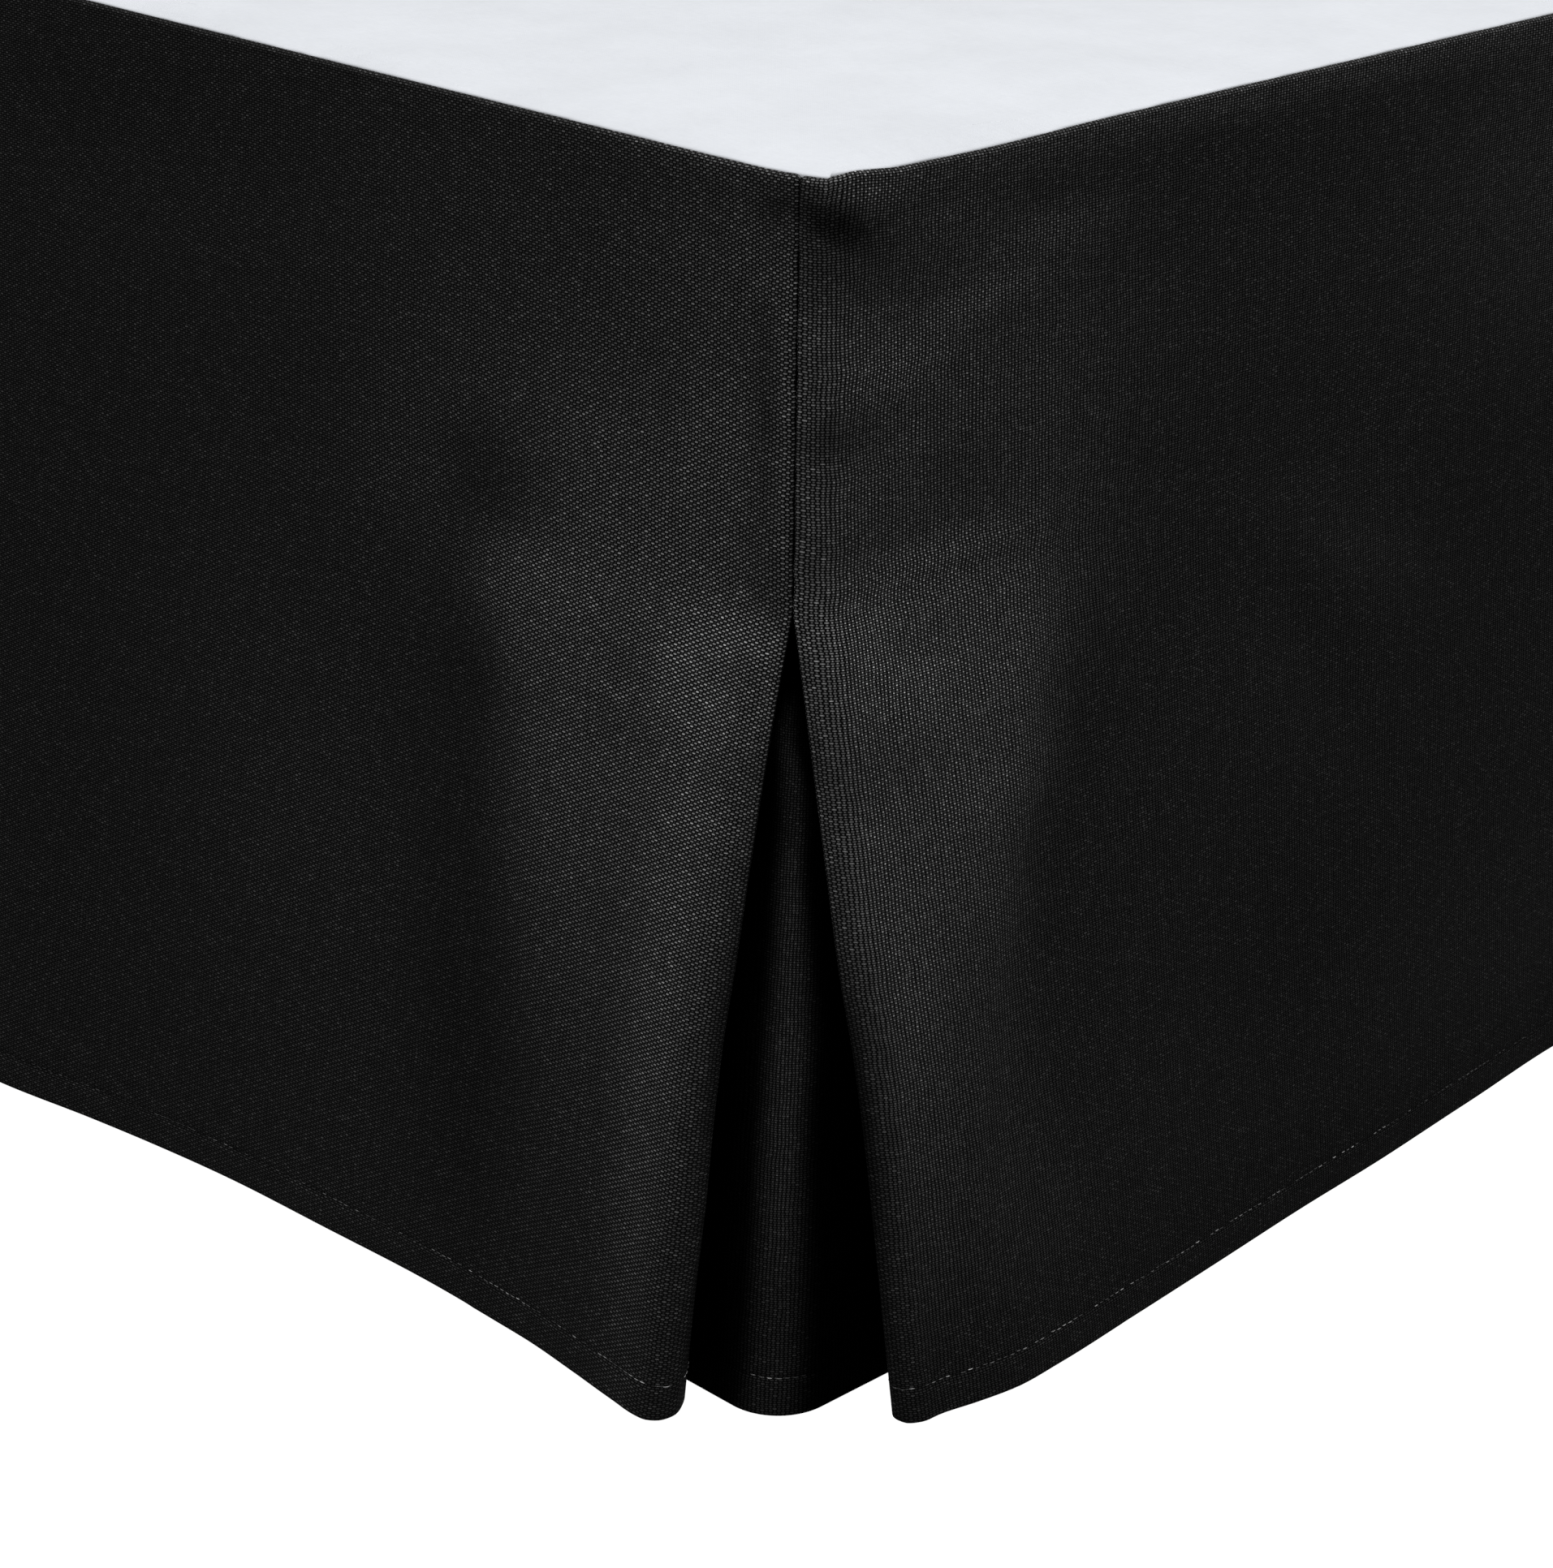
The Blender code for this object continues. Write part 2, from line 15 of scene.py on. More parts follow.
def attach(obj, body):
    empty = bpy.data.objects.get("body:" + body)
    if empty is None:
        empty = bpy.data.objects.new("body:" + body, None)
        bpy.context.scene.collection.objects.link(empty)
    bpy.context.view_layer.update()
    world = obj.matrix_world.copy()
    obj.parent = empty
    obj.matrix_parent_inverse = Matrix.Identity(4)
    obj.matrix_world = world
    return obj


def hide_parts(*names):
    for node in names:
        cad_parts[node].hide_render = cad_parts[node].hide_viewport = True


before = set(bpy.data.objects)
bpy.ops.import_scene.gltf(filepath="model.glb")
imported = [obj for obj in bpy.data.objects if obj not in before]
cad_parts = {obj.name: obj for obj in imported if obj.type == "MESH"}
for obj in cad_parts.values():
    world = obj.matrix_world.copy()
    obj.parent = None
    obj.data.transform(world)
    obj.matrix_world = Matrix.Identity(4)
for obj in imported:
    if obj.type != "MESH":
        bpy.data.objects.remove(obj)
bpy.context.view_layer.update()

# Bed and drop
BED_WIDTH = 1.524
BED_LENGTH = 2.032
DROP = 0.3818
SEAM_HEIGHT = 0.390
HALF_WIDTH = BED_WIDTH / 2
HALF_LENGTH = BED_LENGTH / 2
FOOT_REACH = 0.060               # how far the foot drop's widest flare stands out
BED_MIDDLE_Y = FOOT_REACH / 2

# Cloth
CLOTH = 0.0010
HEM_CLOTH = 0.0017
HEM_DEPTH = 0.0116
INSERT_HEM_DEPTH = 0.0134
DECK_CLOTH = 0.0008

# Turns and folds
EDGE_RADIUS = 0.0018
CORNER_RADIUS = 0.0126
SEWN = 0.1240
SEAM_TURN_TOP = radians(1)       # where the corner's seam lies on its bend, from the foot side on
SEAM_TURN = radians(13)
SEAM_GAP = 0.00035
SEAM_PULL = 0.00022              # how far single stitches pull or let go of the seam's edges
FOLD_RADIUS = 0.0012
RETURN_BACK = 2 * FOLD_RADIUS
SEMI_FOLD = FOLD_RADIUS * pi / 2
RETURN_DEPTH = 0.074
FLAP_ROWS_END = 0.100            # cloth length up to which the flaps' hem tables hold
DRIFT_FADE = 0.30
FOOT_SEAM_OUT = 0.0065           # how far each drop stands out where the sewn part of the corner ends
LONG_SEAM_OUT = 0.0015
SEAM_LEAN_WIDTH = 0.130

# Seams and hems, close up
PUCKER_HEIGHT = 0.00026
PUCKER_PITCH = 0.0031
PUCKER_REACH = 0.0035
STRIP_HEIGHT = 0.0005            # of the seam's allowances, felt through the cloth beside it
STRIP_WIDTH = 0.009
GROOVE_DEPTH = 0.00022           # of the line that the hem's stitches draw in
GROOVE_WIDTH = 0.0007
HEM_RISE = 0.0025                # over which the hem comes out below it
HEM_STEP = 0.0012                # over which the hem's layers begin

# Unevenness of the hanging cloth: its small bumps and its long swells
BUMP_HEIGHT = 0.0005
BUMP_SIZE = 0.070
SWELL_HEIGHT = 0.0016
SWELL_SIZE = 0.190
SWELL_START = 0.10               # along the side from the corner, and over which they grow
SWELL_RISE = 0.15
SWELL_FADE = 0.12                # over which they end above the hem
CALM_TOP = 0.05                  # neither shows right at the seam and at the fold
CALM_FOLD = 0.03
FOLD_FADE = 0.012                # cloth length beside the fold over which all relief begins

# Rows and columns of the drops' grids
ROW_STEP = 0.0033
GROOVE_REACH = 0.003             # above and below the stitches, with close rows
GROOVE_STEP = 0.0006
HEM_ROW_STEP = 0.0016
FOLD_REACH = 0.016               # cloth length up to which the columns are closest
RETURN_STEP = 0.006
BACK_STEP = 0.0016
FRONT_STEP = 0.0010
NEAR_END = 0.42                  # cloth length up to which the columns are close
SHOWN_STEP = 0.0032              # at the photographed corner
HIDDEN_STEP = 0.006
FOOT_FAR_STEP = 0.014
LONG_FAR_STEP = 0.015
JOIN_WIDTH = 0.25                # over which the foot drop's two halves come together

# Hem of each flap in plan, from the end of the turned-back cloth, round the fold, on to the front
FOOT_FLAP_HEM = (   # along, out
    (0.098, 0.0174), (0.07, 0.0172), (0.052, 0.0172), (0.044, 0.018), (0.0384, 0.0215),
    (0.0335, 0.0268), (0.0308, 0.0325), (0.0318, 0.0376), (0.0352, 0.0405), (0.0405, 0.0413),
    (0.0505, 0.0406), (0.072, 0.0383), (0.094, 0.0363), (0.114, 0.0358), (0.156, 0.0352),
)
FOOT_FOLD_ROW = 6
LONG_FLAP_HEM = (   # along, out
    (0.098, -0.0022), (0.068, -0.0022), (0.048, -0.0018), (0.036, 0.001), (0.027, 0.0062),
    (0.018, 0.0112), (0.0132, 0.016), (0.0138, 0.0202), (0.0176, 0.023), (0.026, 0.024),
    (0.0398, 0.0271), (0.0554, 0.0296), (0.0745, 0.0291), (0.1168, 0.0254), (0.1612, 0.0215),
)
LONG_FOLD_ROW = 6

# How far the hem stands out along each side, from the corner on
FOOT_FLARE = (   # along, out
    (0.072, 0.0383), (0.114, 0.0358), (0.156, 0.0352), (0.197, 0.0365), (0.239, 0.039),
    (0.279, 0.0434), (0.32, 0.0489), (0.361, 0.0558), (0.415, FOOT_REACH), (0.5, 0.053),
    (0.6, 0.037), (0.69, 0.034), (0.79, 0.044), (0.89, 0.05), (0.99, 0.042), (1.09, 0.033),
    (1.19, 0.036), (1.29, 0.042), (1.37, 0.039), (1.452, 0.0383),
)
RIGHT_FLARE = (   # along, out
    (0.0745, 0.0291), (0.117, 0.0254), (0.161, 0.0215), (0.208, 0.017), (0.256, 0.0138),
    (0.309, 0.0081), (0.367, 0.0025), (0.43, 0.0015), (0.51, 0.008), (0.61, 0.019), (0.72, 0.015),
    (0.83, 0.006), (0.95, 0.014), (1.07, 0.022), (1.19, 0.012), (1.31, 0.006), (1.43, 0.016),
    (1.56, 0.02), (1.69, 0.009), (1.82, 0.011), (1.93, 0.018), (BED_LENGTH, 0.015),
)
LEFT_FLARE = (   # along, out
    (0.0745, 0.0291), (0.13, 0.024), (0.2, 0.015), (0.29, 0.009), (0.39, 0.014), (0.49, 0.022),
    (0.6, 0.018), (0.71, 0.007), (0.83, 0.005), (0.95, 0.015), (1.06, 0.02), (1.18, 0.012),
    (1.31, 0.005), (1.44, 0.011), (1.56, 0.019), (1.7, 0.016), (1.83, 0.006), (1.94, 0.008),
    (BED_LENGTH, 0.014),
)

# Edge of the part of each flap that lies raised over the pleat, down the drop
FOOT_STEP = (   # down, along
    (0.09, 0.155), (0.131, 0.142), (0.178, 0.125), (0.257, 0.109), (0.381, 0.094),
)
LONG_STEP = (   # down, along
    (0.1, 0.092), (0.138, 0.084), (0.188, 0.076), (0.24, 0.06), (0.381, 0.045),
)

# How far each flap's fold lies further along, down its free part
FOOT_BOW = (   # down, along
    (SEWN, 0), (0.15, 0.0013), (0.2, 0.0024), (0.23, 0.0026), (0.258, 0.0032), (0.286, 0.0024),
    (0.31, 0.0011), (0.34, 0.001), (DROP, 0.0005),
)
LONG_BOW = (   # down, along
    (SEWN, 0), (0.2, 0.0004), (0.236, 0.0008), (0.26, 0.0022), (0.29, 0.0026), (0.32, 0.0022),
    (0.35, 0.0017), (DROP, 0.0013),
)
BOW_FADE = 0.070                 # cloth length over which it fades

# How far the seam on the bed's edge sinks below its height, along each side from the corner on
FOOT_SAG = (   # along, down
    (0, 0.0004), (0.004, 0.0003), (0.012, 0.0002), (0.018, 0.0005), (0.026, 0.0007), (0.04, 0.0008),
    (0.08, 0.0008), (0.3, 0.0008), (1.2, 0.0004), (BED_WIDTH, 0.0001),
)
LONG_SAG = (   # along, down
    (0, 0.0004), (0.003, 0), (0.006, -0.0006), (0.01, -0.0013), (0.014, -0.001), (0.0185, -0.0006),
    (0.026, 0.0002), (0.034, 0.0004), (0.044, 0.0005), (0.06, 0.0008), (0.085, 0.0006),
    (0.1, 0.0003), (0.13, 0.0001), (0.16, 0), (0.2, 0),
    (BED_LENGTH, 0),
)
SAG_DEPTH = 0.030                # over which the drop evens it out
DECK_SAG_WIDTH = 0.012           # over which the white cloth does
STEP_HEIGHT = 0.0022             # of the flaps' part over the pleat
STEP_WIDTH = 0.018
STEP_START = 0.06                # depth at which it begins
STEP_FADE = 0.10                 # over which it ends above the hem

# Soft ridges (+) and troughs (-) near the foot corners, rising away from the corner by tilt degrees
FOOT_RIDGES = (   # along, down, tilt, long, wide, height
    (0.132, 0.114, 0, 0.02, 0.02, -0.0012),
    (0.045, 0.137, -8, 0.04, 0.012, 0.001),
    (0.044, 0.26, 86, 0.12, 0.01, 0.0006),
    (0.235, 0.24, 72, 0.11, 0.05, 0.0012),
    (0.175, 0.19, 80, 0.11, 0.022, -0.0012),
)
LONG_RIDGES = (   # along, down, tilt, long, wide, height
    (0.004, 0.013, -40, 0.012, 0.005, -0.0012),
    (0.026, 0.013, 24, 0.022, 0.005, -0.0003),
    (0.062, 0.021, 8, 0.016, 0.003, -0.0003),
    (0.066, 0.045, 6, 0.024, 0.003, 0.0004),
    (0.022, 0.052, 18, 0.022, 0.01, 0.0007),
    (0.016, 0.073, 4, 0.022, 0.009, -0.0008),
    (0.044, 0.115, 3, 0.04, 0.004, 0.0007),
    (0.04, 0.13, 3, 0.034, 0.006, 0.0006),
    (0.028, 0.145, -28, 0.024, 0.008, 0.0008),
    (0.23, 0.16, -28, 0.06, 0.022, 0.0012),
    (0.222, 0.205, -52, 0.05, 0.014, -0.0014),
    (0.163, 0.252, 70, 0.05, 0.03, -0.0014),
)

# Painted sheen over the pleat, and lower roughness: its edge by cloth length, and how strong it is down the
# drop
FOOT_PAINTED_SHEEN = (   # down, edge, painted sheen
    (0.108, 0.108, 0),
    (0.12, 0.112, 0.5),
    (0.132, 0.12, 1.7),
    (0.145, 0.123, 2.3),
    (0.165, 0.111, 2.5),
    (0.185, 0.105, 2.35),
    (0.21, 0.102, 1.9),
    (0.24, 0.096, 1.35),
    (0.27, 0.09, 0.75),
    (0.3, 0.083, 0.45),
    (0.33, 0.082, 0.25),
    (0.381, 0.07, 0),
)
LONG_PAINTED_SHEEN = (   # down, edge, painted sheen
    (0.104, 0.074, 0),
    (0.117, 0.082, 1.6),
    (0.128, 0.086, 2.5),
    (0.145, 0.088, 2.9),
    (0.165, 0.083, 2.25),
    (0.185, 0.078, 2.4),
    (0.21, 0.066, 1.6),
    (0.24, 0.062, 0.85),
    (0.27, 0.064, 0.5),
    (0.3, 0.066, 0.3),
    (0.33, 0.08, 0.2),
    (0.381, 0.08, 0),
)
PAINTED_SHEEN_FADE = 0.050               # width of its soft edge

# Patches of painted highlight (+) or painted shade (-) in the colour, along by cloth length from the middle
# of the fold
FOOT_PAINTED_LIGHT = (   # along, down, tilt, long, wide, height
    (0.05, 0.099, 0, 0.064, 0.032, 1.8),
    (0.018, 0.034, -10, 0.05, 0.034, 1.1),
    (0.11, 0.055, 0, 0.07, 0.06, 0.3),
    (0.03, 0.002, 0, 0.05, 0.004, 0.5),
    (0.005, 0.0095, -10, 0.012, 0.0038, -0.9),
    (0.01, 0.028, 0, 0.014, 0.006, 0.6),
    (0.012, 0.072, 90, 0.045, 0.005, -0.45),
    (0.003, 0.068, 90, 0.045, 0.004, 1.8),
    (0.031, 0.078, 80, 0.022, 0.012, 0.9),
    (0.124, 0.112, 8, 0.025, 0.019, -0.6),
    (0.066, 0.114, -8, 0.04, 0.011, 0.75),
    (0.044, 0.118, -4, 0.024, 0.007, 0.8),
    (0.035, 0.1415, -14, 0.016, 0.009, 3.9),
    (0.012, 0.133, -4, 0.013, 0.008, 3.7),
    (0.092, 0.134, -4, 0.026, 0.011, 1.3),
    (0.028, 0.158, 90, 0.012, 0.018, 2.4),
    (0.036, 0.172, 0, 0.07, 0.006, -0.8),
    (0.026, 0.188, 0, 0.026, 0.007, 0.6),
    (0.026, 0.21, 90, 0.085, 0.015, 1.9),
    (0.025, 0.3, 88, 0.065, 0.013, 0.8),
    (0, 0.228, 90, 0.07, 0.0065, -1.6),
    (0.002, 0.15, 90, 0.015, 0.006, 1.6),
    (0.018, 0.017, 0, 0.008, 0.006, 0.6),
    (0.02, 0.07, 90, 0.02, 0.009, 0.45),
    (0.157, 0.112, 0, 0.033, 0.036, 0.45),
    (0.42, 0.19, 90, 0.3, 0.13, -0.22),
    (0.2, 0.25, 75, 0.11, 0.06, 0.2),
    (0.12, 0.3, 80, 0.09, 0.026, -0.22),
    (0.32, 0.02, 0, 0.1, 0.03, -0.12),
)
LONG_PAINTED_LIGHT = (   # along, down, tilt, long, wide, height
    (0.04, 0.078, 0, 0.068, 0.05, 1.15),
    (0.058, 0.088, 0, 0.026, 0.011, -0.5),
    (0.011, 0.013, -28, 0.013, 0.004, -1.05),
    (0.019, 0.004, -16, 0.014, 0.004, 1.7),
    (0.2, 0.002, 0, 0.28, 0.006, 0.65),
    (0.014, 0.042, 10, 0.014, 0.006, 1),
    (0.092, 0.028, 6, 0.024, 0.006, 0.8),
    (0.066, 0.043, 6, 0.024, 0.005, 1.2),
    (0.033, 0.057, 8, 0.018, 0.007, 2.8),
    (0.01, 0.074, 6, 0.022, 0.007, -0.7),
    (0.014, 0.094, 0, 0.022, 0.013, 0.6),
    (0.002, 0.07, 90, 0.05, 0.005, 1.1),
    (0.04, 0.116, 8, 0.03, 0.006, 1.7),
    (0.014, 0.127, 4, 0.017, 0.008, 3.3),
    (0.024, 0.139, -24, 0.013, 0.008, 3.5),
    (0.036, 0.152, -14, 0.028, 0.009, 2.3),
    (0.022, 0.172, 0, 0.024, 0.006, -1),
    (0.06, 0.187, 0, 0.016, 0.008, 0.8),
    (0.015, 0.205, 85, 0.03, 0.009, 1.3),
    (0.026, 0.232, 80, 0.034, 0.011, 1.5),
    (0.022, 0.29, 84, 0.04, 0.013, 0.4),
    (0, 0.275, 90, 0.06, 0.005, -1.2),
    (0.058, 0.017, 4, 0.02, 0.006, 0.6),
    (0.036, 0.005, 4, 0.014, 0.004, 0.6),
    (0.022, 0.052, 5, 0.014, 0.01, 0.6),
    (0.044, 0.12, 3, 0.016, 0.006, 0.8),
    (0.098, 0.126, 0, 0.022, 0.024, 0.45),
    (0.03, 0.155, 0, 0.012, 0.008, 0.6),
    (0.058, 0.225, 90, 0.014, 0.014, 0.45),
    (0.25, 0.16, -30, 0.05, 0.014, 0.15),
    (0.205, 0.29, 0, 0.07, 0.06, -0.2),
    (0.25, 0.375, 0, 0.3, 0.03, -0.26),
    (0.36, 0.05, 0, 0.09, 0.06, 0.35),
    (0.31, 0.21, 90, 0.16, 0.08, -0.1),
)

# Insert behind the split
INSERT_FOOT_OUT = 0.0158
INSERT_LONG_OUT = -0.0042
INSERT_TOP_OUT = -0.0044
INSERT_TOP_RADIUS = 0.008
INSERT_HEM_RADIUS = 0.019
INSERT_WING_START = 0.030
INSERT_WING_END = 0.096

# Painted highlight on the insert's bend, in the middle of its band, and painted shade on its sides.
# The middle and the falls to its foot side and its long side are degrees round the bend, from the foot side
# on.
INSERT_PAINTED_LIGHT = (   # down, middle, foot fall, long fall, painted light
    (0.12, 30, 12, 12, -0.95),
    (0.148, 20, 12, 12, -0.95),
    (0.161, 17, 14, 13, 0),
    (0.175, 31, 19, 13, 0.05),
    (0.188, 34, 18, 15, -0.1),
    (0.203, 36, 20, 13, 0.25),
    (0.23, 39, 23, 20, 0.35),
    (0.258, 40, 26, 25, 0.42),
    (0.286, 38, 26, 23, 0.4),
    (0.314, 38, 25, 25, 0.25),
    (0.342, 38, 25, 27, -0.02),
    (0.382, 35, 25, 29, -0.08),
)
BAND_FLATNESS = 2.6
PAINTED_DEEP_SHADE = -0.97               # painted shade beside the band

# Weave: distances between neighbouring threads, how they sway and swell, and how round their floats are
WARP_PITCH = 0.00135
WEFT_PITCH = 0.00075
SWAY_SCALE = 90.0
SLUB_SCALE = 420.0
SLUB_STRETCH = 0.25
WEFT_ALONG = 0.30
WEFT_ACROSS = 0.75
WARP_ALONG = 3.0

# Tones of the threads, and what painted light adds to them: first on the foot drop, then on the sides
FOLD_LENGTHWISE = 0.15           # how far the fold of a side drop takes the sides' painted glints
# the two sides differ in painted glints: on the wefts of the foot drop, on the warps of the sides
WEFT_TONES = (0.935, 0.76)
WEFT_PAINTED_GAIN = (2.05, 0.415)
WARP_TONES = (0.50, 0.81)
WARP_PAINTED_GAIN = (0.30, 3.45)
BRIDGE_TONES = (0.15, 0.06)
BLACK = (0.0450, 0.0450, 0.0450)

# Platform cloth, base cover and legs
DECK_GAP = 0.0002
DECK_SHORT = 0.016               # of the bed's head end
DECK_RIM = (0.0, 0.0003, 0.0008, 0.0015, 0.0025, 0.004)
DECK_NEAR = 0.50                 # from the corner, with close grid lines
DECK_NEAR_STEP = 0.007
DECK_FAR_STEP = 0.024
PUFF_HEIGHT = 0.0007             # of the white cloth just inside its seams
PUFF_PLACE = 0.0035
PUFF_WIDTH = 0.004
RUMPLE_HEIGHT = 0.0008
RUMPLE_SIZES = (0.055, 0.120)
WHITE = (0.600, 0.617, 0.648)
WHITE_PITCHES = (0.00042, 0.00040)
RIM_PAINTED_SHADE = -0.45                # painted shade: the white cloth's colour darkens where it turns down into the seam
RIM_WIDTH = 0.0011
COVER_GREY = (0.54, 0.53, 0.51)
COVER_PITCH = 0.0012
WOOD_DARK = (0.055, 0.030, 0.017)
WOOD_PALE = (0.16, 0.095, 0.055)

# Stitches
STITCH_PITCH = 0.0027
STITCH_LENGTH = 0.0019
STITCH_RADIUS = 0.00018
STITCHES_SUNK = 0.25             # share of them that doesn't show
STITCH_SIDES = 6
STITCH_RINGS = ((0.0, 0.15), (0.18, 0.85), (0.5, 1.0), (0.82, 0.85), (1.0, 0.15))   # length, swell

SEED = 7028                      # of all that is left to chance


# Interpolation ------------------------------------------------------------------------------------

def smooth_table(table, at):
    """A smooth curve through a table's rows, read at the given places of its first column."""
    rows = np.array(table, float)
    x, y = rows[:, 0], rows[:, 1]
    slope = np.gradient(y, x)
    at = np.clip(at, x[0], x[-1])
    i = np.clip(np.searchsorted(x, at) - 1, 0, len(x) - 2)
    width = x[i + 1] - x[i]
    t = (at - x[i]) / width
    return ((2 * t ** 3 - 3 * t ** 2 + 1) * y[i] + (t ** 3 - 2 * t ** 2 + t) * width * slope[i]
            + (3 * t ** 2 - 2 * t ** 3) * y[i + 1] + (t ** 3 - t ** 2) * width * slope[i + 1])


def path_lengths(points):
    """Length along a path up to each of its points."""
    return np.concatenate([[0], np.cumsum(np.linalg.norm(np.diff(points, axis=0), axis=1))])


def smooth_path(rows, middle_row, at):
    """Along and out of a smooth path through the rows, at cloth lengths from its middle row."""
    points = np.array(rows, float)
    length = path_lengths(points)
    length -= length[middle_row]
    return [smooth_table(np.column_stack([length, points[:, axis]]), at) for axis in (0, 1)]


def ease(t):
    """A soft step from 0 to 1."""
    t = np.clip(t, 0, 1)
    return t * t * (3 - 2 * t)


def share_of(down, full):
    """Share of the lean that the cloth has at a depth, from the turn over the edge to a full depth."""
    return np.clip((down - EDGE_RADIUS) / (full - EDGE_RADIUS), 0, None)


def ridges(rows, along, down):
    """The sum of a table's ridges at the given places."""
    total = 0.0
    for row_along, row_down, tilt, long, wide, height in rows:
        turn = radians(tilt)
        across, up = along - row_along, row_down - down
        p = across * cos(turn) + up * sin(turn)
        q = up * cos(turn) - across * sin(turn)
        total = total + height * np.exp(-(p / long) ** 2 - (q / wide) ** 2)
    return total


def soft_noise(x, y, size, seed):
    """Smooth unevenness from -1 to 1 with bumps of about the given size."""
    rng = np.random.default_rng(seed)
    total = np.zeros(np.broadcast(x, y).shape)
    waves = 14
    for angle, phase, stretch in zip(rng.uniform(0, pi, waves), rng.uniform(0, 2 * pi, waves),
                                     rng.uniform(0.7, 1.5, waves)):
        k = 2 * pi / (size * 2 * stretch)
        total += np.sin(k * (x * cos(angle) + y * sin(angle)) + phase)
    return total / (waves / 2) ** 0.5 / 1.6


def hem_groove(down, hem_depth):
    """The line that the hem's stitches draw in, with the hem's layers a little proud below it."""
    above = DROP - hem_depth - down
    return -GROOVE_DEPTH * np.exp(-(above / GROOVE_WIDTH) ** 2) + GROOVE_DEPTH * ease(-above / HEM_RISE)


# Plan of a drop near a foot corner ----------------------------------------------------------------

HALF_FIELDS = "flap fold_row flare from_side own_out other_out bow step relief_rows gloss_rows press seed"


class Half(namedtuple("Half", HALF_FIELDS)):
    """One drop from a foot corner on. Its places are along the side and out of it, by the cloth's
    length from the middle of its fold and by depth below the seam; both are given as arrays."""

    def sewn(self, cloth, down):
        """Places where the corner is sewn shut, or would be if it were."""
        share = share_of(down, SEWN)
        middle_along = CORNER_RADIUS - self.other_out * share
        middle_out = self.own_out * share - CORNER_RADIUS

        seam_turn = (SEAM_TURN - SEAM_TURN_TOP) * np.clip(share, 0, 1)
        seam_angle = np.abs(self.from_side - SEAM_TURN_TOP - seam_turn)
        gap = SEAM_GAP + SEAM_PULL * soft_noise(down, 0 * down, 0.0016, self.seed + 2)
        turn = pi / 2 - cloth / FOLD_RADIUS
        fold_radius = CORNER_RADIUS - FOLD_RADIUS + FOLD_RADIUS * np.cos(turn)
        aside = FOLD_RADIUS + gap - FOLD_RADIUS * np.sin(turn)
        across, outward = np.sin(seam_angle), np.cos(seam_angle)
        fold = (middle_along - fold_radius * across + aside * outward,
                middle_out + fold_radius * outward + aside * across)

        radius = np.where(cloth > 0, CORNER_RADIUS, CORNER_RADIUS - RETURN_BACK)
        start = seam_angle - (FOLD_RADIUS + gap) / radius
        past = np.abs(cloth) - SEMI_FOLD
        arc = np.maximum(start, 0) * radius
        angle = start - past / radius
        bend = (middle_along - radius * np.sin(angle), middle_out + radius * np.cos(angle))

        along = middle_along - np.minimum(start, 0) * radius + past - arc
        spread = ease((along - CORNER_RADIUS) / SEAM_LEAN_WIDTH)
        front = ((1 - spread) * self.own_out * share
                 + spread * smooth_table(self.flare, along) * share_of(down, DROP))
        side = (along, np.where(cloth > 0, front, middle_out + radius))

        parts = np.broadcast_arrays(np.abs(cloth) < SEMI_FOLD, past < arc)
        return np.stack([np.select(parts, np.broadcast_arrays(fold[i], bend[i]), side[i]) for i in (0, 1)],
                        axis=-1)

    def hem(self, cloth):
        """Places at the hem."""
        flap = np.stack(smooth_path(self.flap, self.fold_row, np.minimum(cloth, FLAP_ROWS_END)), axis=-1)
        top = self.sewn(np.maximum(cloth, FLAP_ROWS_END), np.zeros(1))[..., 0]
        drift = flap[..., 0] - self.sewn(np.full_like(cloth, FLAP_ROWS_END), np.zeros(1))[..., 0]
        along = top + drift * np.exp(-(cloth - FLAP_ROWS_END) / DRIFT_FADE)
        rest = np.stack([along, smooth_table(self.flare, along)], axis=-1)
        return np.where((cloth <= FLAP_ROWS_END)[..., None], flap, rest)

    def raised(self, along, down):
        """1 where the flap lies over the pleat, 0 past it."""
        return 1 - ease((along - smooth_table(self.step, down)) / STEP_WIDTH + 0.5)

    def relief(self, cloth, along, down):
        """How far the front stands out of its plain lean: creases, seam puckers, hem and unevenness."""
        lift = STEP_HEIGHT * (self.raised(along, down) - 0.5) * ease((down - STEP_START) / STEP_START)
        lift = lift * ease((DROP - down) / STEP_FADE)
        lift = lift + ridges(self.relief_rows, along, down)
        calm = ease((down - EDGE_RADIUS) / CALM_TOP) * ease(cloth / CALM_FOLD)
        lift = lift + calm * BUMP_HEIGHT * soft_noise(along, down, BUMP_SIZE, self.seed)
        swells = calm * SWELL_HEIGHT * soft_noise(along, 0.35 * down, SWELL_SIZE, self.seed + 1)
        swells = swells * ease((along - SWELL_START) / SWELL_RISE) * share_of(down, DROP)
        lift = lift + swells * ease((DROP - down) / SWELL_FADE)
        return lift * ease((cloth - SEMI_FOLD) / FOLD_FADE)

    def seam_puckers(self, cloth, down):
        """Small pulls of the corner seam's stitches, and the strip raised by its allowances."""
        beside = cloth - SEMI_FOLD
        near = np.exp(-(beside / PUCKER_REACH) ** 2) * (down < SEWN + 0.002) * (beside > 0)
        phase = down / PUCKER_PITCH + 0.25 * soft_noise(beside, down, 0.01, 5)
        pull = PUCKER_HEIGHT * near * np.sin(2 * pi * phase)
        shut = ease((down - 0.025) / 0.02) * (1 - ease((down - SEWN + 0.012) / 0.012))
        strip = STRIP_HEIGHT * (1 - ease((beside - STRIP_WIDTH) / 0.006)) * ease(beside / 0.002) * shut
        return pull + strip

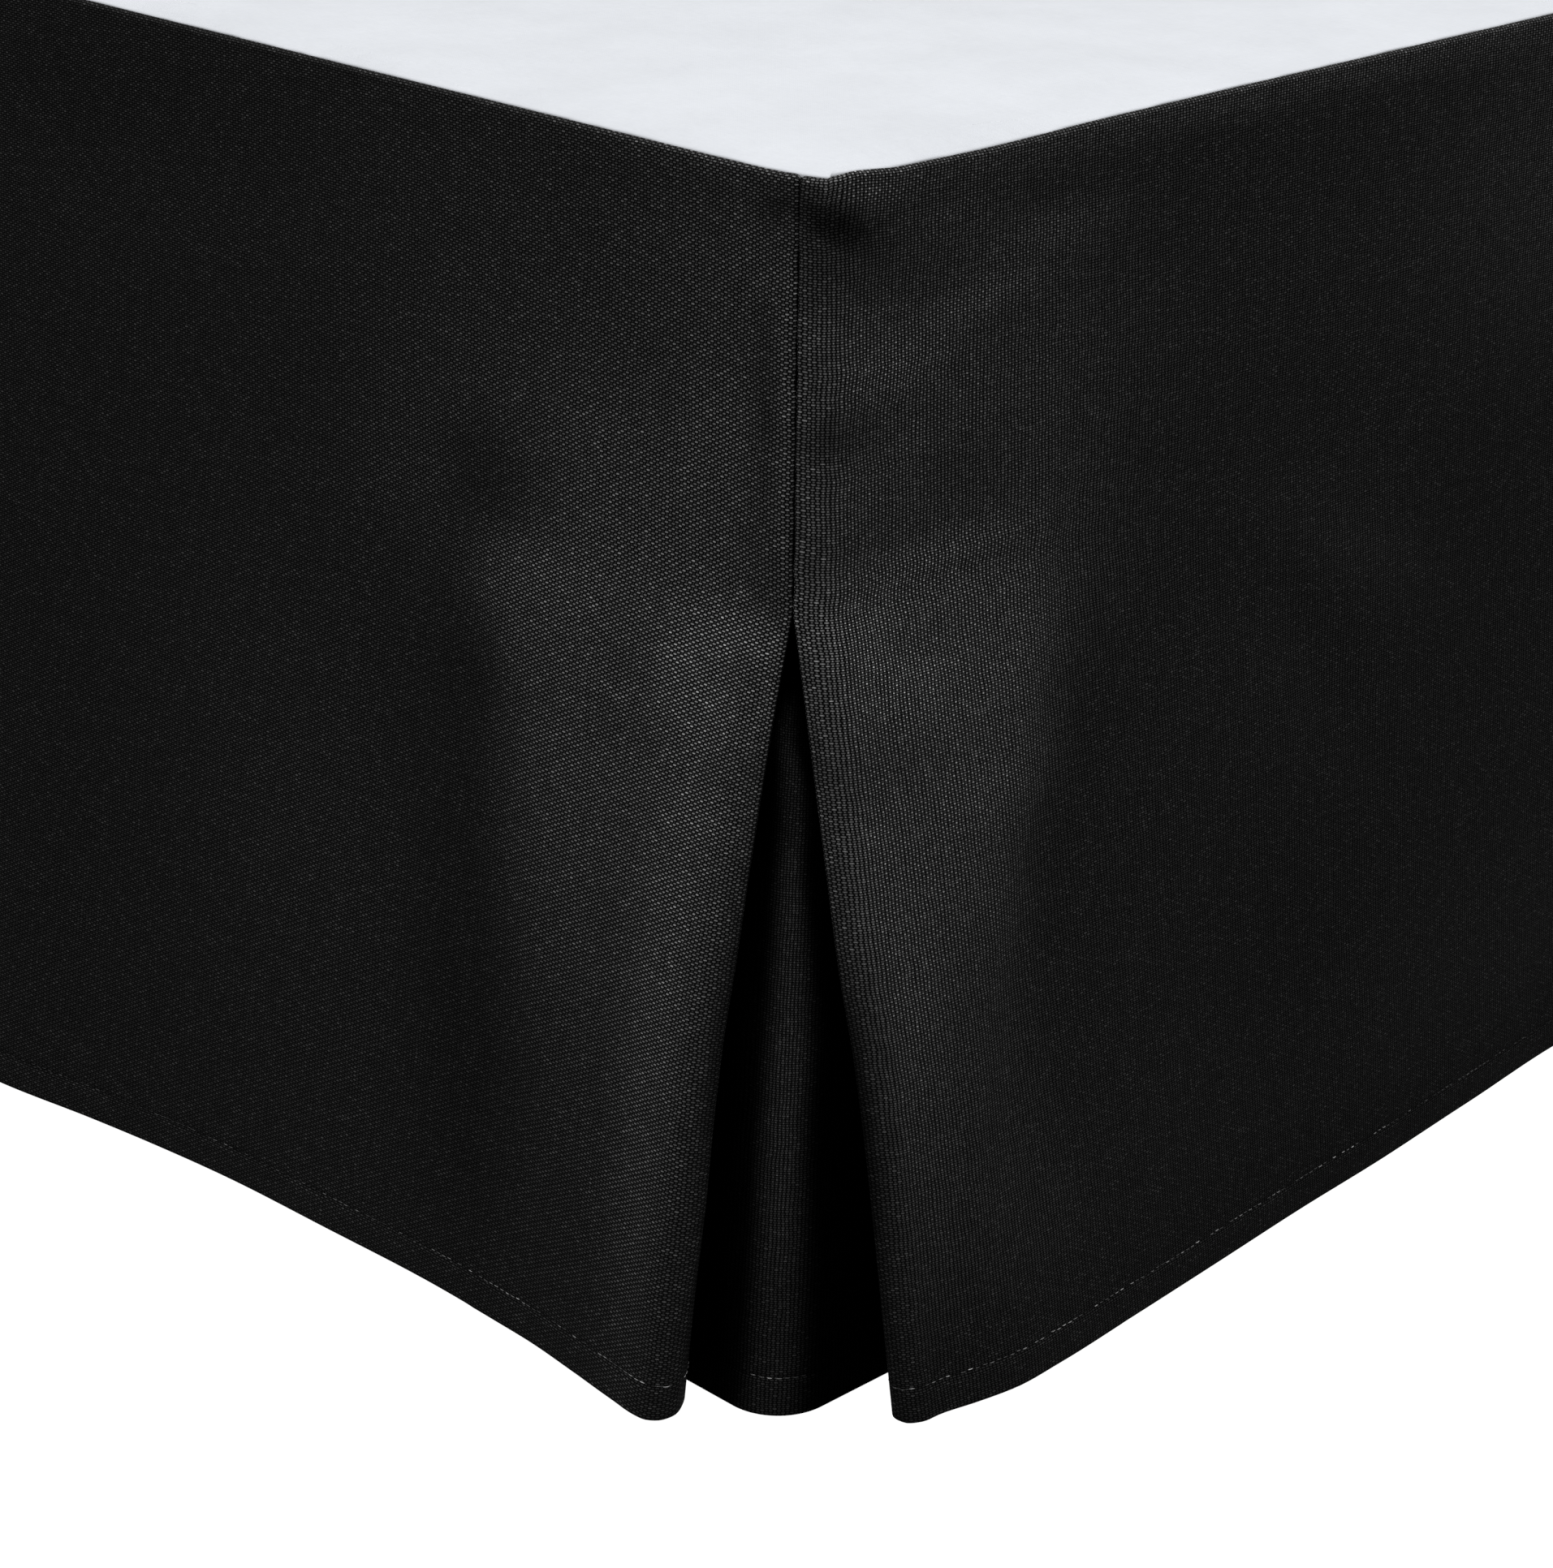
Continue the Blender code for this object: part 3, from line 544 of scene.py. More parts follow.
    def places(self, cloth, down):
        """Places at any depth, with all relief."""
        cloth, down = np.array(cloth)[None, :], np.array(down)[:, None]
        opened = np.clip((down - SEWN) / (DROP - SEWN), 0, 1)[..., None]
        spots = (1 - opened) * self.sewn(cloth, np.minimum(down, SEWN)) + opened * self.hem(cloth)
        bow = smooth_table(self.bow, down) * (opened[..., 0] > 0)
        spots[..., 0] += bow * (1 - ease(np.abs(cloth) / BOW_FADE))
        front = ease(cloth / SEMI_FOLD)
        lift = self.relief(cloth, spots[..., 0], down) + self.seam_puckers(cloth, down)
        spots[..., 1] += front * (lift + hem_groove(down, HEM_DEPTH))
        return spots

    def painted_light(self, cloth, down):
        """Painted light: sheen over the pleat, and highlight (+) and shade (-) rows, on the front only."""
        cloth, down = np.array(cloth)[None, :], np.array(down)[:, None]
        press = np.array(self.press, float)
        edge, strength = smooth_table(press[:, :2], down), smooth_table(press[:, ::2], down)
        pressed = strength * (1 - ease((cloth - edge) / PAINTED_SHEEN_FADE + 0.5))
        gloss = pressed + ridges(self.gloss_rows, cloth, down)
        return np.where(gloss < 0, 0.6 * np.tanh(gloss / 0.6), gloss) * (cloth > 0)


def foot_half(flare, seed):
    """The half of the foot drop that starts at a corner."""
    return Half(FOOT_FLAP_HEM, FOOT_FOLD_ROW, flare, 0, FOOT_SEAM_OUT, LONG_SEAM_OUT, FOOT_BOW, FOOT_STEP,
                FOOT_RIDGES, FOOT_PAINTED_LIGHT, FOOT_PAINTED_SHEEN, seed)


def long_half(flare, seed):
    """A whole long drop, from its foot corner to the head end."""
    return Half(LONG_FLAP_HEM, LONG_FOLD_ROW, flare, pi / 2, LONG_SEAM_OUT, FOOT_SEAM_OUT, LONG_BOW,
                LONG_STEP, LONG_RIDGES, LONG_PAINTED_LIGHT, LONG_PAINTED_SHEEN, seed)


def top_start(half):
    """Difference between a place along the seam and the cloth length there, past the flap."""
    far = np.array([0.5])
    return half.sewn(far, np.zeros(1))[0, 0] - far[0]


# Places in the world ------------------------------------------------------------------------------

def from_corner(side, u, v):
    """World plan of corner coordinates, at the right (+1) or left (-1) foot corner."""
    return np.stack([side * (HALF_WIDTH + u), BED_MIDDLE_Y - HALF_LENGTH - v], axis=-1)


def seam_sag(plan, side):
    """How far the seam on the bed's edge sinks at points of a drop's top edge row."""
    u, v = side * plan[:, 0] - HALF_WIDTH, BED_MIDDLE_Y - HALF_LENGTH - plan[:, 1]
    return np.where(u > v, smooth_table(LONG_SAG, -v), smooth_table(FOOT_SAG, -u))


def turned_in(plan, angle, side):
    """Points of a drop's top edge row moved along the turn over the bed's edge, with their heights."""
    spot = np.stack([side * plan[:, 0] - HALF_WIDTH, BED_MIDDLE_Y - HALF_LENGTH - plan[:, 1]], axis=-1)
    centred = spot + CORNER_RADIUS
    at_corner = (centred > 0).all(axis=1)
    size = np.linalg.norm(centred, axis=1)
    straight = np.where((spot[:, 0] > spot[:, 1])[:, None], [1.0, 0.0], [0.0, 1.0])
    outward = np.where(at_corner[:, None], centred / size[:, None], straight)
    out = np.where(at_corner, size - CORNER_RADIUS, spot.max(axis=1))
    radius = EDGE_RADIUS + out
    spot = spot + outward * (radius * (sin(angle) - 1))[:, None]
    height = SEAM_HEIGHT - EDGE_RADIUS + radius * cos(angle) - seam_sag(plan, side)
    return np.column_stack([from_corner(side, spot[:, 0], spot[:, 1]), height])


def side_normals(plan):
    """Unit normals to the left of each row's path, lengthened at its bends to keep the thickness."""
    step = np.diff(plan, axis=1)
    step /= np.linalg.norm(step, axis=2, keepdims=True)
    before = np.concatenate([step[:, :1], step], axis=1)
    after = np.concatenate([step, step[:, -1:]], axis=1)
    middle = before + after
    middle /= np.linalg.norm(middle, axis=2, keepdims=True)
    bend = np.maximum((middle * after).sum(axis=2, keepdims=True), 0.8)
    return np.stack([-middle[..., 1], middle[..., 0]], axis=2) / bend


# Meshes -------------------------------------------------------------------------------------------

def add_object(name, data):
    """An object in the scene that shows the given data."""
    made = bpy.data.objects.new(name, data)
    bpy.context.scene.collection.objects.link(made)
    return made


def add_mesh(name, points, faces, surface, uv=None, painted_light=None, lengthwise=0.0):
    """A smooth mesh object from arrays, with cloth lengths as its UVs where given."""
    mesh = bpy.data.meshes.new(name)
    mesh.from_pydata(points.tolist(), [], faces)
    mesh.materials.append(surface)
    if uv is not None:
        layer = mesh.uv_layers.new(name="cloth")
        loops = np.empty(len(mesh.loops), np.int32)
        mesh.loops.foreach_get("vertex_index", loops)
        layer.data.foreach_set("uv", uv[loops].astype(np.float32).ravel())
    if painted_light is not None:
        # the attribute of painted highlight (+) and painted shade (-) on the colour, and the side's glints
        for label, values in (("painted_light", painted_light), ("lengthwise", lengthwise + 0 * painted_light)):
            values = values.astype(np.float32)
            mesh.attributes.new(label, "FLOAT", "POINT").data.foreach_set("value", values)
    mesh.shade_smooth()
    mesh.validate()
    return add_object(name, mesh)


def grid_faces(rows, columns, first, flip):
    """Quads of a grid of points."""
    index = first + np.arange(rows * columns).reshape(rows, columns)
    quads = np.stack([index[:-1, :-1], index[:-1, 1:], index[1:, 1:], index[1:, :-1]], axis=-1)
    quads = quads.reshape(-1, 4)
    return quads[:, ::-1] if flip else quads


def ring_faces(count, sides, capped):
    """Faces between rings of points; the first and the last ring are capped or joined to each other."""
    index = np.arange(count * sides).reshape(count, sides)
    after = np.roll(index, -1, axis=1)
    faces = np.stack([index[:-1], after[:-1], after[1:], index[1:]], axis=-1).reshape(-1, 4).tolist()
    if capped:
        return faces + [index[0, ::-1].tolist(), index[-1].tolist()]
    return faces + np.stack([index[-1], after[-1], after[0], index[0]], axis=-1).tolist()


def closed_sheet(name, fair, back, uv, painted_light, surface, flip, lengthwise=0.0):
    """A closed sheet between two grids of points, its fair face and its back."""
    rows, columns = fair.shape[:2]
    count = rows * columns
    index = np.arange(count).reshape(rows, columns)
    rim = np.concatenate([index[0, :], index[1:, -1], index[-1, -2::-1], index[-2:0:-1, 0]])
    after = np.roll(rim, -1)
    border = np.stack([rim, rim + count, after + count, after], axis=-1)
    if flip:
        border = border[:, ::-1]
    sides = [grid_faces(rows, columns, 0, flip), grid_faces(rows, columns, count, not flip)]
    faces = np.concatenate(sides + [border]).tolist()
    points = np.concatenate([fair.reshape(-1, 3), back.reshape(-1, 3)])
    uvs = np.concatenate([uv.reshape(-1, 2)] * 2)
    painted_lights = np.concatenate([painted_light.ravel(), 0 * painted_light.ravel()])
    lengthwise = np.tile((lengthwise + 0 * painted_light).ravel(), 2)
    return add_mesh(name, points, faces, surface, uvs, painted_lights, lengthwise)


def edge_rounding(distance, thickness):
    """Share of half the thickness by which each face draws in, that near to the sheet's edge."""
    near = np.clip(1 - distance / (thickness / 2), 0, 1)
    return 1 - np.sqrt(1 - near ** 2)


def spaced(start, end, step):
    """Values from start to end, evenly, at most a step apart, without the first."""
    count = max(int(np.ceil((end - start) / step)), 1)
    return list(start + (end - start) * (np.arange(count) + 1) / count)


EDGE_TURNS = [radians(9) * i for i in range(10)]
HEM_EDGE = [DROP - HEM_CLOTH / 2 * share for share in (1.0, 0.6, 0.3, 0.1, 0.02)]


def drop_rows(hem_depth):
    """Depths of a drop's rows, closer to each other round the hem's stitches and at the edge."""
    above, below = DROP - hem_depth - GROOVE_REACH, DROP - hem_depth + GROOVE_REACH
    return np.array([EDGE_RADIUS] + spaced(EDGE_RADIUS, above, ROW_STEP) + spaced(above, below, GROOVE_STEP)
                    + spaced(below, HEM_EDGE[0], HEM_ROW_STEP) + HEM_EDGE[1:] + [DROP])


DOWNS = drop_rows(HEM_DEPTH)


def drop_cloths(near_step, end, far_step):
    """Cloth lengths of a drop's columns: close round its fold and flap, wider further on."""
    back = [-RETURN_DEPTH] + spaced(-RETURN_DEPTH, -FOLD_REACH, RETURN_STEP)
    back += spaced(-FOLD_REACH, -SEMI_FOLD, BACK_STEP)
    fold = spaced(-SEMI_FOLD, SEMI_FOLD, SEMI_FOLD / 4)
    front = spaced(SEMI_FOLD, FOLD_REACH, FRONT_STEP) + spaced(FOLD_REACH, NEAR_END, near_step)
    return np.array(back + fold + front + spaced(NEAR_END, end, far_step))


def hem_thickness(downs, columns, hem_depth):
    """Cloth thickness at each place: the hem's layers at the bottom."""
    per_row = CLOTH + (HEM_CLOTH - CLOTH) * ease((downs - DROP + hem_depth) / HEM_STEP + 1)
    return np.repeat(per_row[:, None], columns, axis=1)


def sheet_from_plan(name, plan, fair_sign, thickness, curl_side, cloths, painted_light, surface, downs=DOWNS,
                    lengthwise=0.0):
    """A hanging sheet from its fair face's plan at each depth. Where it has a curl side, its top turns
    over the bed's edge."""
    normals = fair_sign * side_normals(plan)
    edge = edge_rounding(DROP - downs, HEM_CLOTH)[:, None] * thickness / 2
    fair = plan - normals * edge[..., None]
    rear = plan - normals * (thickness - edge)[..., None]
    faces = []
    turns = [] if curl_side is None else EDGE_TURNS
    for face in (fair, rear):
        rows = [turned_in(face[0], angle, curl_side) for angle in turns]
        sag = seam_sag(face[0], curl_side) if turns else np.zeros(face.shape[1])
        rows += [np.column_stack([row, SEAM_HEIGHT - down - sag * (1 - ease((down - downs[0]) / SAG_DEPTH))])
                 for row, down in zip(face, downs)]
        faces.append(np.array(rows))
    seam_lengths = [EDGE_RADIUS * angle for angle in turns]
    first = EDGE_RADIUS * pi / 2 if turns else 0
    lengths = np.array(seam_lengths + list(first + downs - downs[0]))
    uv = np.stack(np.broadcast_arrays(cloths[None, :], lengths[:, None]), axis=-1)
    painted_light = np.concatenate([np.repeat(painted_light[:1], len(turns), axis=0), painted_light]) if turns else painted_light
    return closed_sheet(name, faces[0], faces[1], uv, painted_light, surface, fair_sign > 0, lengthwise)


# Stitches -----------------------------------------------------------------------------------------

def stitch_run(name, surface, seed, points, normals, lengths, painted_stitch_shade):
    """A line of stitches lying on the cloth along a path; some sink in and don't show. Each has a
    painted glint of random strength in its colour, and painted shade: 0 where they catch the light,
    falling to -1 in deep shade."""
    rng = np.random.default_rng(seed)
    verts, faces, lights = [], [], []
    for i in range(int(lengths[-1] / STITCH_PITCH)):
        sunk = rng.random() < STITCHES_SUNK
        shift, size, light = rng.uniform(-0.0002, 0.0002), rng.uniform(0.85, 1.15), rng.random()
        if sunk:
            continue
        start = (i + 0.15) * STITCH_PITCH
        painted_shade_here = np.interp(start, lengths, painted_stitch_shade)
        light = light + 1.3 * painted_shade_here
        light = light if light > 0 else painted_shade_here
        first = len(verts)
        for t, swell in STITCH_RINGS:
            at = start + t * STITCH_LENGTH * size
            centre, ahead, normal = (np.array([np.interp(spot, lengths, column) for column in values.T])
                                     for spot, values in ((at, points), (at + 1e-4, points), (at, normals)))
            along = (ahead - centre) / np.linalg.norm(ahead - centre)
            across = np.cross(along, normal)
            rise = STITCH_RADIUS * (0.2 + 0.8 * sin(pi * t))
            for k in range(STITCH_SIDES):
                angle = 2 * pi * k / STITCH_SIDES
                verts.append(centre + across * (shift + STITCH_RADIUS * swell * cos(angle))
                             + normal * (rise + STITCH_RADIUS * swell * 0.8 * sin(angle)))
                lights.append(light)
        faces += [[first + k for k in face] for face in ring_faces(len(STITCH_RINGS), STITCH_SIDES, True)]
    return add_mesh(name, np.array(verts), faces, surface, painted_light=np.array(lights))


def hem_stitches(name, cloth_object, rows, columns, first_column, surface, seed):
    """The hem's line of stitches along a drop's fair face."""
    points = np.empty(len(cloth_object.data.vertices) * 3)
    cloth_object.data.vertices.foreach_get("co", points)
    grid = points.reshape(-1, 3)[:rows * columns].reshape(rows, columns, 3)
    row = len(EDGE_TURNS) + int(np.argmin(np.abs(DOWNS - DROP + HEM_DEPTH)))
    line = grid[row, first_column:]
    above = grid[row - 3, first_column:]
    along = np.gradient(line, axis=0)
    normal = np.cross(along, above - line)
    normal /= np.linalg.norm(normal, axis=1, keepdims=True)
    middle = line.mean(axis=0) - np.array([0, BED_MIDDLE_Y, line[0, 2]])
    if (normal * middle).sum(axis=1).mean() < 0:
        normal = -normal
    lengths = path_lengths(line)
    # painted shade along the run: patchy, and deeper away from the corner
    painted_stitch_shade = 0.25 * soft_noise(lengths, 0 * lengths, 0.04, seed) - 0.45 * ease((lengths - 0.08) / 0.25)
    return stitch_run(name, surface, seed, line, normal, lengths, np.minimum(painted_stitch_shade, 0))


# Materials ----------------------------------------------------------------------------------------

def operation(name):
    """A method that adds a node for one kind of sum of a value and another."""
    return lambda value, other: value.graph.maths(name, value, other)


class Value:
    """One output of a shader node, which sums and products can be written with."""

    __add__ = __radd__ = operation("ADD")
    __mul__ = __rmul__ = operation("MULTIPLY")
    __sub__ = operation("SUBTRACT")
    __truediv__ = operation("DIVIDE")
    __pow__ = operation("POWER")

    def __init__(self, graph, socket):
        self.graph = graph
        self.socket = socket

    def __rsub__(self, other):
        return self.graph.maths("SUBTRACT", other, self)


class Graph:
    """Short ways to add and link shader nodes of one material."""

    def __init__(self, name):
        self.material = bpy.data.materials.new(name)
        self.material.use_nodes = True
        self.tree = self.material.node_tree

    def put(self, socket, value):
        """Links a value to a socket, or sets the socket to a number or a colour."""
        if isinstance(value, Value):
            self.tree.links.new(value.socket, socket)
        else:
            socket.default_value = (*value, 1.0) if isinstance(value, tuple) else value

    def node(self, kind, inputs, output=0, **settings):
        """One output of a new node, with its inputs put in place by their names or numbers."""
        made = self.tree.nodes.new(kind)
        for key, value in settings.items():
            setattr(made, key, value)
        for key, value in inputs.items():
            self.put(made.inputs[key], value)
        return Value(self, made.outputs[output])

    def maths(self, operation, *values):
        return self.node("ShaderNodeMath", dict(enumerate(values)), operation=operation)

    def vector(self, x, y, z=0.0):
        return self.node("ShaderNodeCombineXYZ", {0: x, 1: y, 2: z})

    def parts(self, vector):
        """The three parts of a vector."""
        made = self.tree.nodes.new("ShaderNodeSeparateXYZ")
        self.put(made.inputs[0], vector)
        return [Value(self, socket) for socket in made.outputs]

    def noise(self, vector, scale, detail=2.0, roughness=0.5):
        inputs = {"Vector": vector, "Scale": scale, "Detail": detail, "Roughness": roughness}
        return self.node("ShaderNodeTexNoise", inputs, "Fac")

    def remap(self, value, *limits):
        """The value, with an old low and high taken to a new low and high."""
        return self.node("ShaderNodeMapRange", dict(enumerate((value, *limits))), "Result")

    def tint(self, tone, colour):
        """A colour at the strength of a tone."""
        levels = {place: tone * level for place, level in enumerate(colour)}
        return self.node("ShaderNodeCombineColor", levels)

    def bump(self, height, distance, strength=1.0, **below):
        inputs = {"Height": height, "Distance": distance, "Strength": strength, **below}
        return self.node("ShaderNodeBump", inputs)

    def cloth_place(self):
        return self.node("ShaderNodeUVMap", {}, uv_map="cloth")

    def object_place(self):
        return self.node("ShaderNodeTexCoord", {}, "Object")

    def attribute(self, name):
        return self.node("ShaderNodeAttribute", {}, "Fac", attribute_name=name)

    def painted_light_and_shade(self):
        """Painted highlight, the attribute above nought, and painted shade, 1 with its part below added."""
        painted_light = self.attribute("painted_light")
        return self.maths("MAXIMUM", painted_light, 0.0), 1.0 + self.maths("MINIMUM", painted_light, 0.0)

    def surface(self, **inputs):
        """The material, with inputs of its shader put in place."""
        sockets = self.tree.nodes["Principled BSDF"].inputs
        for name, value in inputs.items():
            self.put(sockets[SHADER_INPUTS[name]], value)
        return self.material


SHADER_INPUTS = {"colour": "Base Color", "roughness": "Roughness", "specular": "Specular IOR Level",
                 "normal": "Normal", "glow": "Emission Color", "glow_strength": "Emission Strength"}
Weave = namedtuple("Weave", "height weft warp bridge uneven chance")


def plain_weave(graph, warp_pitch, weft_pitch, wobble):
    """A plain weave on the cloth's UVs: its height; how far a place is on top of a weft or a warp
    float, or on a weft's way down beside its float, 0 in the gaps; an unevenness along each thread;
    a number by chance for each crossing."""
    place = graph.cloth_place()
    u, v, _ = graph.parts(place)
    sway = (graph.noise(place, SWAY_SCALE, 3.0) - 0.5) * wobble
    slub = graph.noise(graph.vector(u * SLUB_STRETCH, v), SLUB_SCALE) - 0.5
    slub_warp = graph.noise(graph.vector(u, v * SLUB_STRETCH), SLUB_SCALE) - 0.5
    x = u * (1 / warp_pitch) + (sway + slub_warp * (wobble * 0.6))
    y = v * (1 / weft_pitch) + (sway + slub * (wobble * 0.5))
    column, row = graph.maths("FLOOR", x), graph.maths("FLOOR", y)
    round_x, round_y = (graph.maths("SINE", graph.maths("FRACT", way) * pi) for way in (x, y))
    in_warp = graph.maths("FLOORED_MODULO", column + row, 2.0)
    in_weft = 1.0 - in_warp
    flat_x, soft_y = round_x ** WEFT_ALONG, round_y ** WEFT_ACROSS
    weft = in_weft * (flat_x * soft_y)
    warp = in_warp * (round_x ** WARP_ALONG * round_y)
    bridge = (in_warp * (1.0 - round_x) + in_weft * (1.0 - flat_x)) * soft_y
    height = weft + warp * 0.8 + bridge * 0.4
    streak = graph.noise(graph.vector(x * 0.10, row * 7.31), 1.0, 1.0)
    streak_warp = graph.noise(graph.vector(column * 5.17, y * 0.06), 1.0, 1.0)
    uneven = streak * 0.65 + streak_warp * 0.35
    crossing = {"Vector": graph.vector(column, row)}
    chance = graph.node("ShaderNodeTexWhiteNoise", crossing, "Value", noise_dimensions="2D")
    return Weave(height, weft, warp, bridge, uneven, chance)


def black_cloth_material():
    """Black plain weave with a linen look. An attribute paints highlights and sheen into its colour,
    with lower roughness too, and painted shade below nought. Its lengthwise attribute is 0 where it
    has the foot drop's painted weft glints and 1 where it has the sides' painted warp glints."""
    graph = Graph("black_weave")
    weave = plain_weave(graph, WARP_PITCH, WEFT_PITCH, 0.9)
    painted_light, painted_shade = graph.painted_light_and_shade()
    lengthwise = graph.attribute("lengthwise")
    pairs = (WEFT_TONES, WEFT_PAINTED_GAIN, WARP_TONES, WARP_PAINTED_GAIN, BRIDGE_TONES)
    weft_tone, weft_painted_gain, warp_tone, warp_painted_gain, bridge_tone = (
        graph.remap(lengthwise, 0.0, 1.0, *pair) for pair in pairs)
    # rare bright crossings: painted glints
    painted_sparkle = weave.chance ** 8.0
    own_weft = 0.72 + weave.chance * 0.36 + painted_sparkle * 0.85
    own_warp = 0.83 + weave.chance * 0.2 + painted_sparkle * 0.6
    pinch = 1.5 + painted_light * 0.5 / (1.0 + painted_light * 0.5)
    weft = weave.weft ** pinch * (weft_tone + painted_light * weft_painted_gain)
    warp = weave.warp ** (1.0 + painted_light * 0.2) * (warp_tone + painted_light * warp_painted_gain)
    bridge = weave.bridge * (bridge_tone / (1.0 + painted_light))
    floats = (weft * own_weft + warp * own_warp + bridge) * painted_shade
    tone = (floats + painted_shade * 0.03) * graph.remap(weave.uneven, 0.3, 0.7, 0.80, 1.24)
    heights = weave.height * graph.remap(weave.uneven, 0.3, 0.7, 0.75, 1.2)
    return graph.surface(
        colour=graph.tint(tone, BLACK), roughness=graph.remap(painted_light, 0.0, 4.0, 0.68, 0.45),
        specular=floats * graph.remap(painted_light, 0.0, 4.0, 0.33, 0.07), normal=graph.bump(heights, 0.00035))


def white_cloth_material():
    """Fine white cotton, faintly blue."""
    graph = Graph("white_cotton")
    threads = plain_weave(graph, *WHITE_PITCHES, 0.8)
    cloudy = graph.noise(graph.cloth_place(), 22.0, 4.0, 0.6)
    tone = graph.remap(cloudy, 0.3, 0.7, 0.955, 1.03) * graph.remap(threads.uneven, 0.3, 0.7, 0.97, 1.03)
    # painted shade from the attribute, at the rim
    tone = tone * (1.0 + graph.attribute("painted_light"))
    weave = graph.bump(threads.height, 0.00005, 0.5)
    return graph.surface(colour=graph.tint(tone, WHITE), roughness=0.85, specular=0.2,
                         normal=graph.bump(cloudy, 0.002, 0.35, Normal=weave))


def thread_material():
    """Glossy dark sewing thread; each stitch has a painted glint of its own, darkened by painted shade."""
    graph = Graph("sewing_thread")
    light, painted_shade = graph.painted_light_and_shade()
    level = painted_shade * graph.remap(light ** 2.0, 0.0, 1.0, 0.05, 0.62)
    return graph.surface(colour=graph.tint(level, (1.0, 1.0, 1.0)), roughness=0.35, specular=painted_shade * 0.5)


def cover_material():
    """Plain pale grey woven cover of the bed base."""
    graph = Graph("base_weave")
    place = graph.object_place()
    x, y, z = graph.parts(place)
    around, upright = (graph.maths("SINE", way * (2 * pi / COVER_PITCH)) for way in (x + y, z))
    threads = around * upright
    cloudy = graph.noise(place, 40.0, 4.0)
    tone = graph.remap(cloudy, 0.3, 0.7, 0.93, 1.05) * graph.remap(threads, -1.0, 1.0, 0.90, 1.05)
    return graph.surface(colour=graph.tint(tone, COVER_GREY), roughness=0.85,
                         normal=graph.bump(threads, 0.0003, 0.6))


def wood_material():
    """Dark stained beech with a fine grain along the leg."""
    graph = Graph("dark_beech")
    x, y, z = graph.parts(graph.object_place())
    grain = graph.noise(graph.vector(x, y, z * 0.06), 260.0, 6.0, 0.65)
    pale = graph.remap(grain, 0.35, 0.65, 0.0, 1.0)
    colours = {"Factor": pale, 6: WOOD_DARK, 7: WOOD_PALE}       # 6 and 7 are its two colour inputs
    return graph.surface(
        colour=graph.node("ShaderNodeMix", colours, 2, data_type="RGBA"),
        roughness=graph.remap(grain, 0.3, 0.7, 0.38, 0.52), normal=graph.bump(grain, 0.0004, 0.4))


def floor_material():
    """Plain white floor, lit from below like a photographer's light table."""
    return Graph("white_floor").surface(colour=(0.9, 0.9, 0.9), roughness=0.9, specular=0.1,
                                        glow=(1.0, 1.0, 1.0), glow_strength=1.0)


# Pieces -------------------------------------------------------------------------------------------

def half_plan(half, cloths, side, is_foot):
    """World plan of a half's columns at each depth."""
    places = half.places(cloths, DOWNS)
    along, out = places[..., 0], places[..., 1]
    return from_corner(side, -along, out) if is_foot else from_corner(side, out, -along)


def long_drop(name, flare, side, seed, surface):
    """A drop along a long side."""
    half = long_half(flare, seed)
    end = BED_LENGTH - top_start(half)
    near_step = SHOWN_STEP if side > 0 else HIDDEN_STEP
    cloths = drop_cloths(near_step, end - HEM_DEPTH, LONG_FAR_STEP)
    end_edge = [end - HEM_CLOTH / 2 * share for share in (1.0, 0.6, 0.3, 0.1)]
    cloths = np.concatenate([cloths, spaced(end - HEM_DEPTH, end_edge[0], 0.004), end_edge[1:], [end]])
    plan = half_plan(half, cloths, side, is_foot=False)
    thickness = hem_thickness(DOWNS, len(cloths), HEM_DEPTH)
    at_end = ease((cloths - (end - HEM_DEPTH)) / HEM_STEP)[None, :]
    thickness = thickness + (HEM_CLOTH - thickness) * at_end
    # the sides' painted warp glints begin just past the fold
    lengthwise = FOLD_LENGTHWISE + (1 - FOLD_LENGTHWISE) * ease((cloths - 0.003) / 0.014)
    made = sheet_from_plan(name, plan, -side, thickness, np.full(len(cloths), side), cloths,
                           half.painted_light(cloths, DOWNS), surface, lengthwise=lengthwise)
    return made, cloths


def foot_drop(name, surface):
    """The drop across the foot, from the right corner to the left one."""
    right = foot_half(FOOT_FLARE, SEED)
    mirrored = tuple((BED_WIDTH - along, out) for along, out in reversed(FOOT_FLARE))
    left = foot_half(mirrored, SEED + 40)
    middle = HALF_WIDTH - top_start(right)
    right_cloths = drop_cloths(SHOWN_STEP, middle, FOOT_FAR_STEP)
    left_cloths = drop_cloths(HIDDEN_STEP, middle, FOOT_FAR_STEP)
    right_plan = half_plan(right, right_cloths, 1, is_foot=True)
    left_plan = half_plan(left, left_cloths, -1, is_foot=True)
    meet = (right_plan[:, -1:] + left_plan[:, -1:]) / 2
    for plan, cloths in ((right_plan, right_cloths), (left_plan, left_cloths)):
        joining = ease((cloths - (middle - JOIN_WIDTH)) / JOIN_WIDTH)[None, :, None]
        plan += joining * (meet - plan[:, -1:])
    plan = np.concatenate([right_plan, left_plan[:, -2::-1]], axis=1)
    painted_lights = [right.painted_light(right_cloths, DOWNS), left.painted_light(left_cloths, DOWNS)[:, -2::-1]]
    cloths = np.concatenate([right_cloths, 2 * middle - left_cloths[-2::-1]])
    sides = np.array([1] * len(right_cloths) + [-1] * (len(left_cloths) - 1))
    thickness = hem_thickness(DOWNS, len(cloths), HEM_DEPTH)
    made = sheet_from_plan(name, plan, 1, thickness, sides, cloths, np.concatenate(painted_lights, axis=1), surface)
    return made, cloths


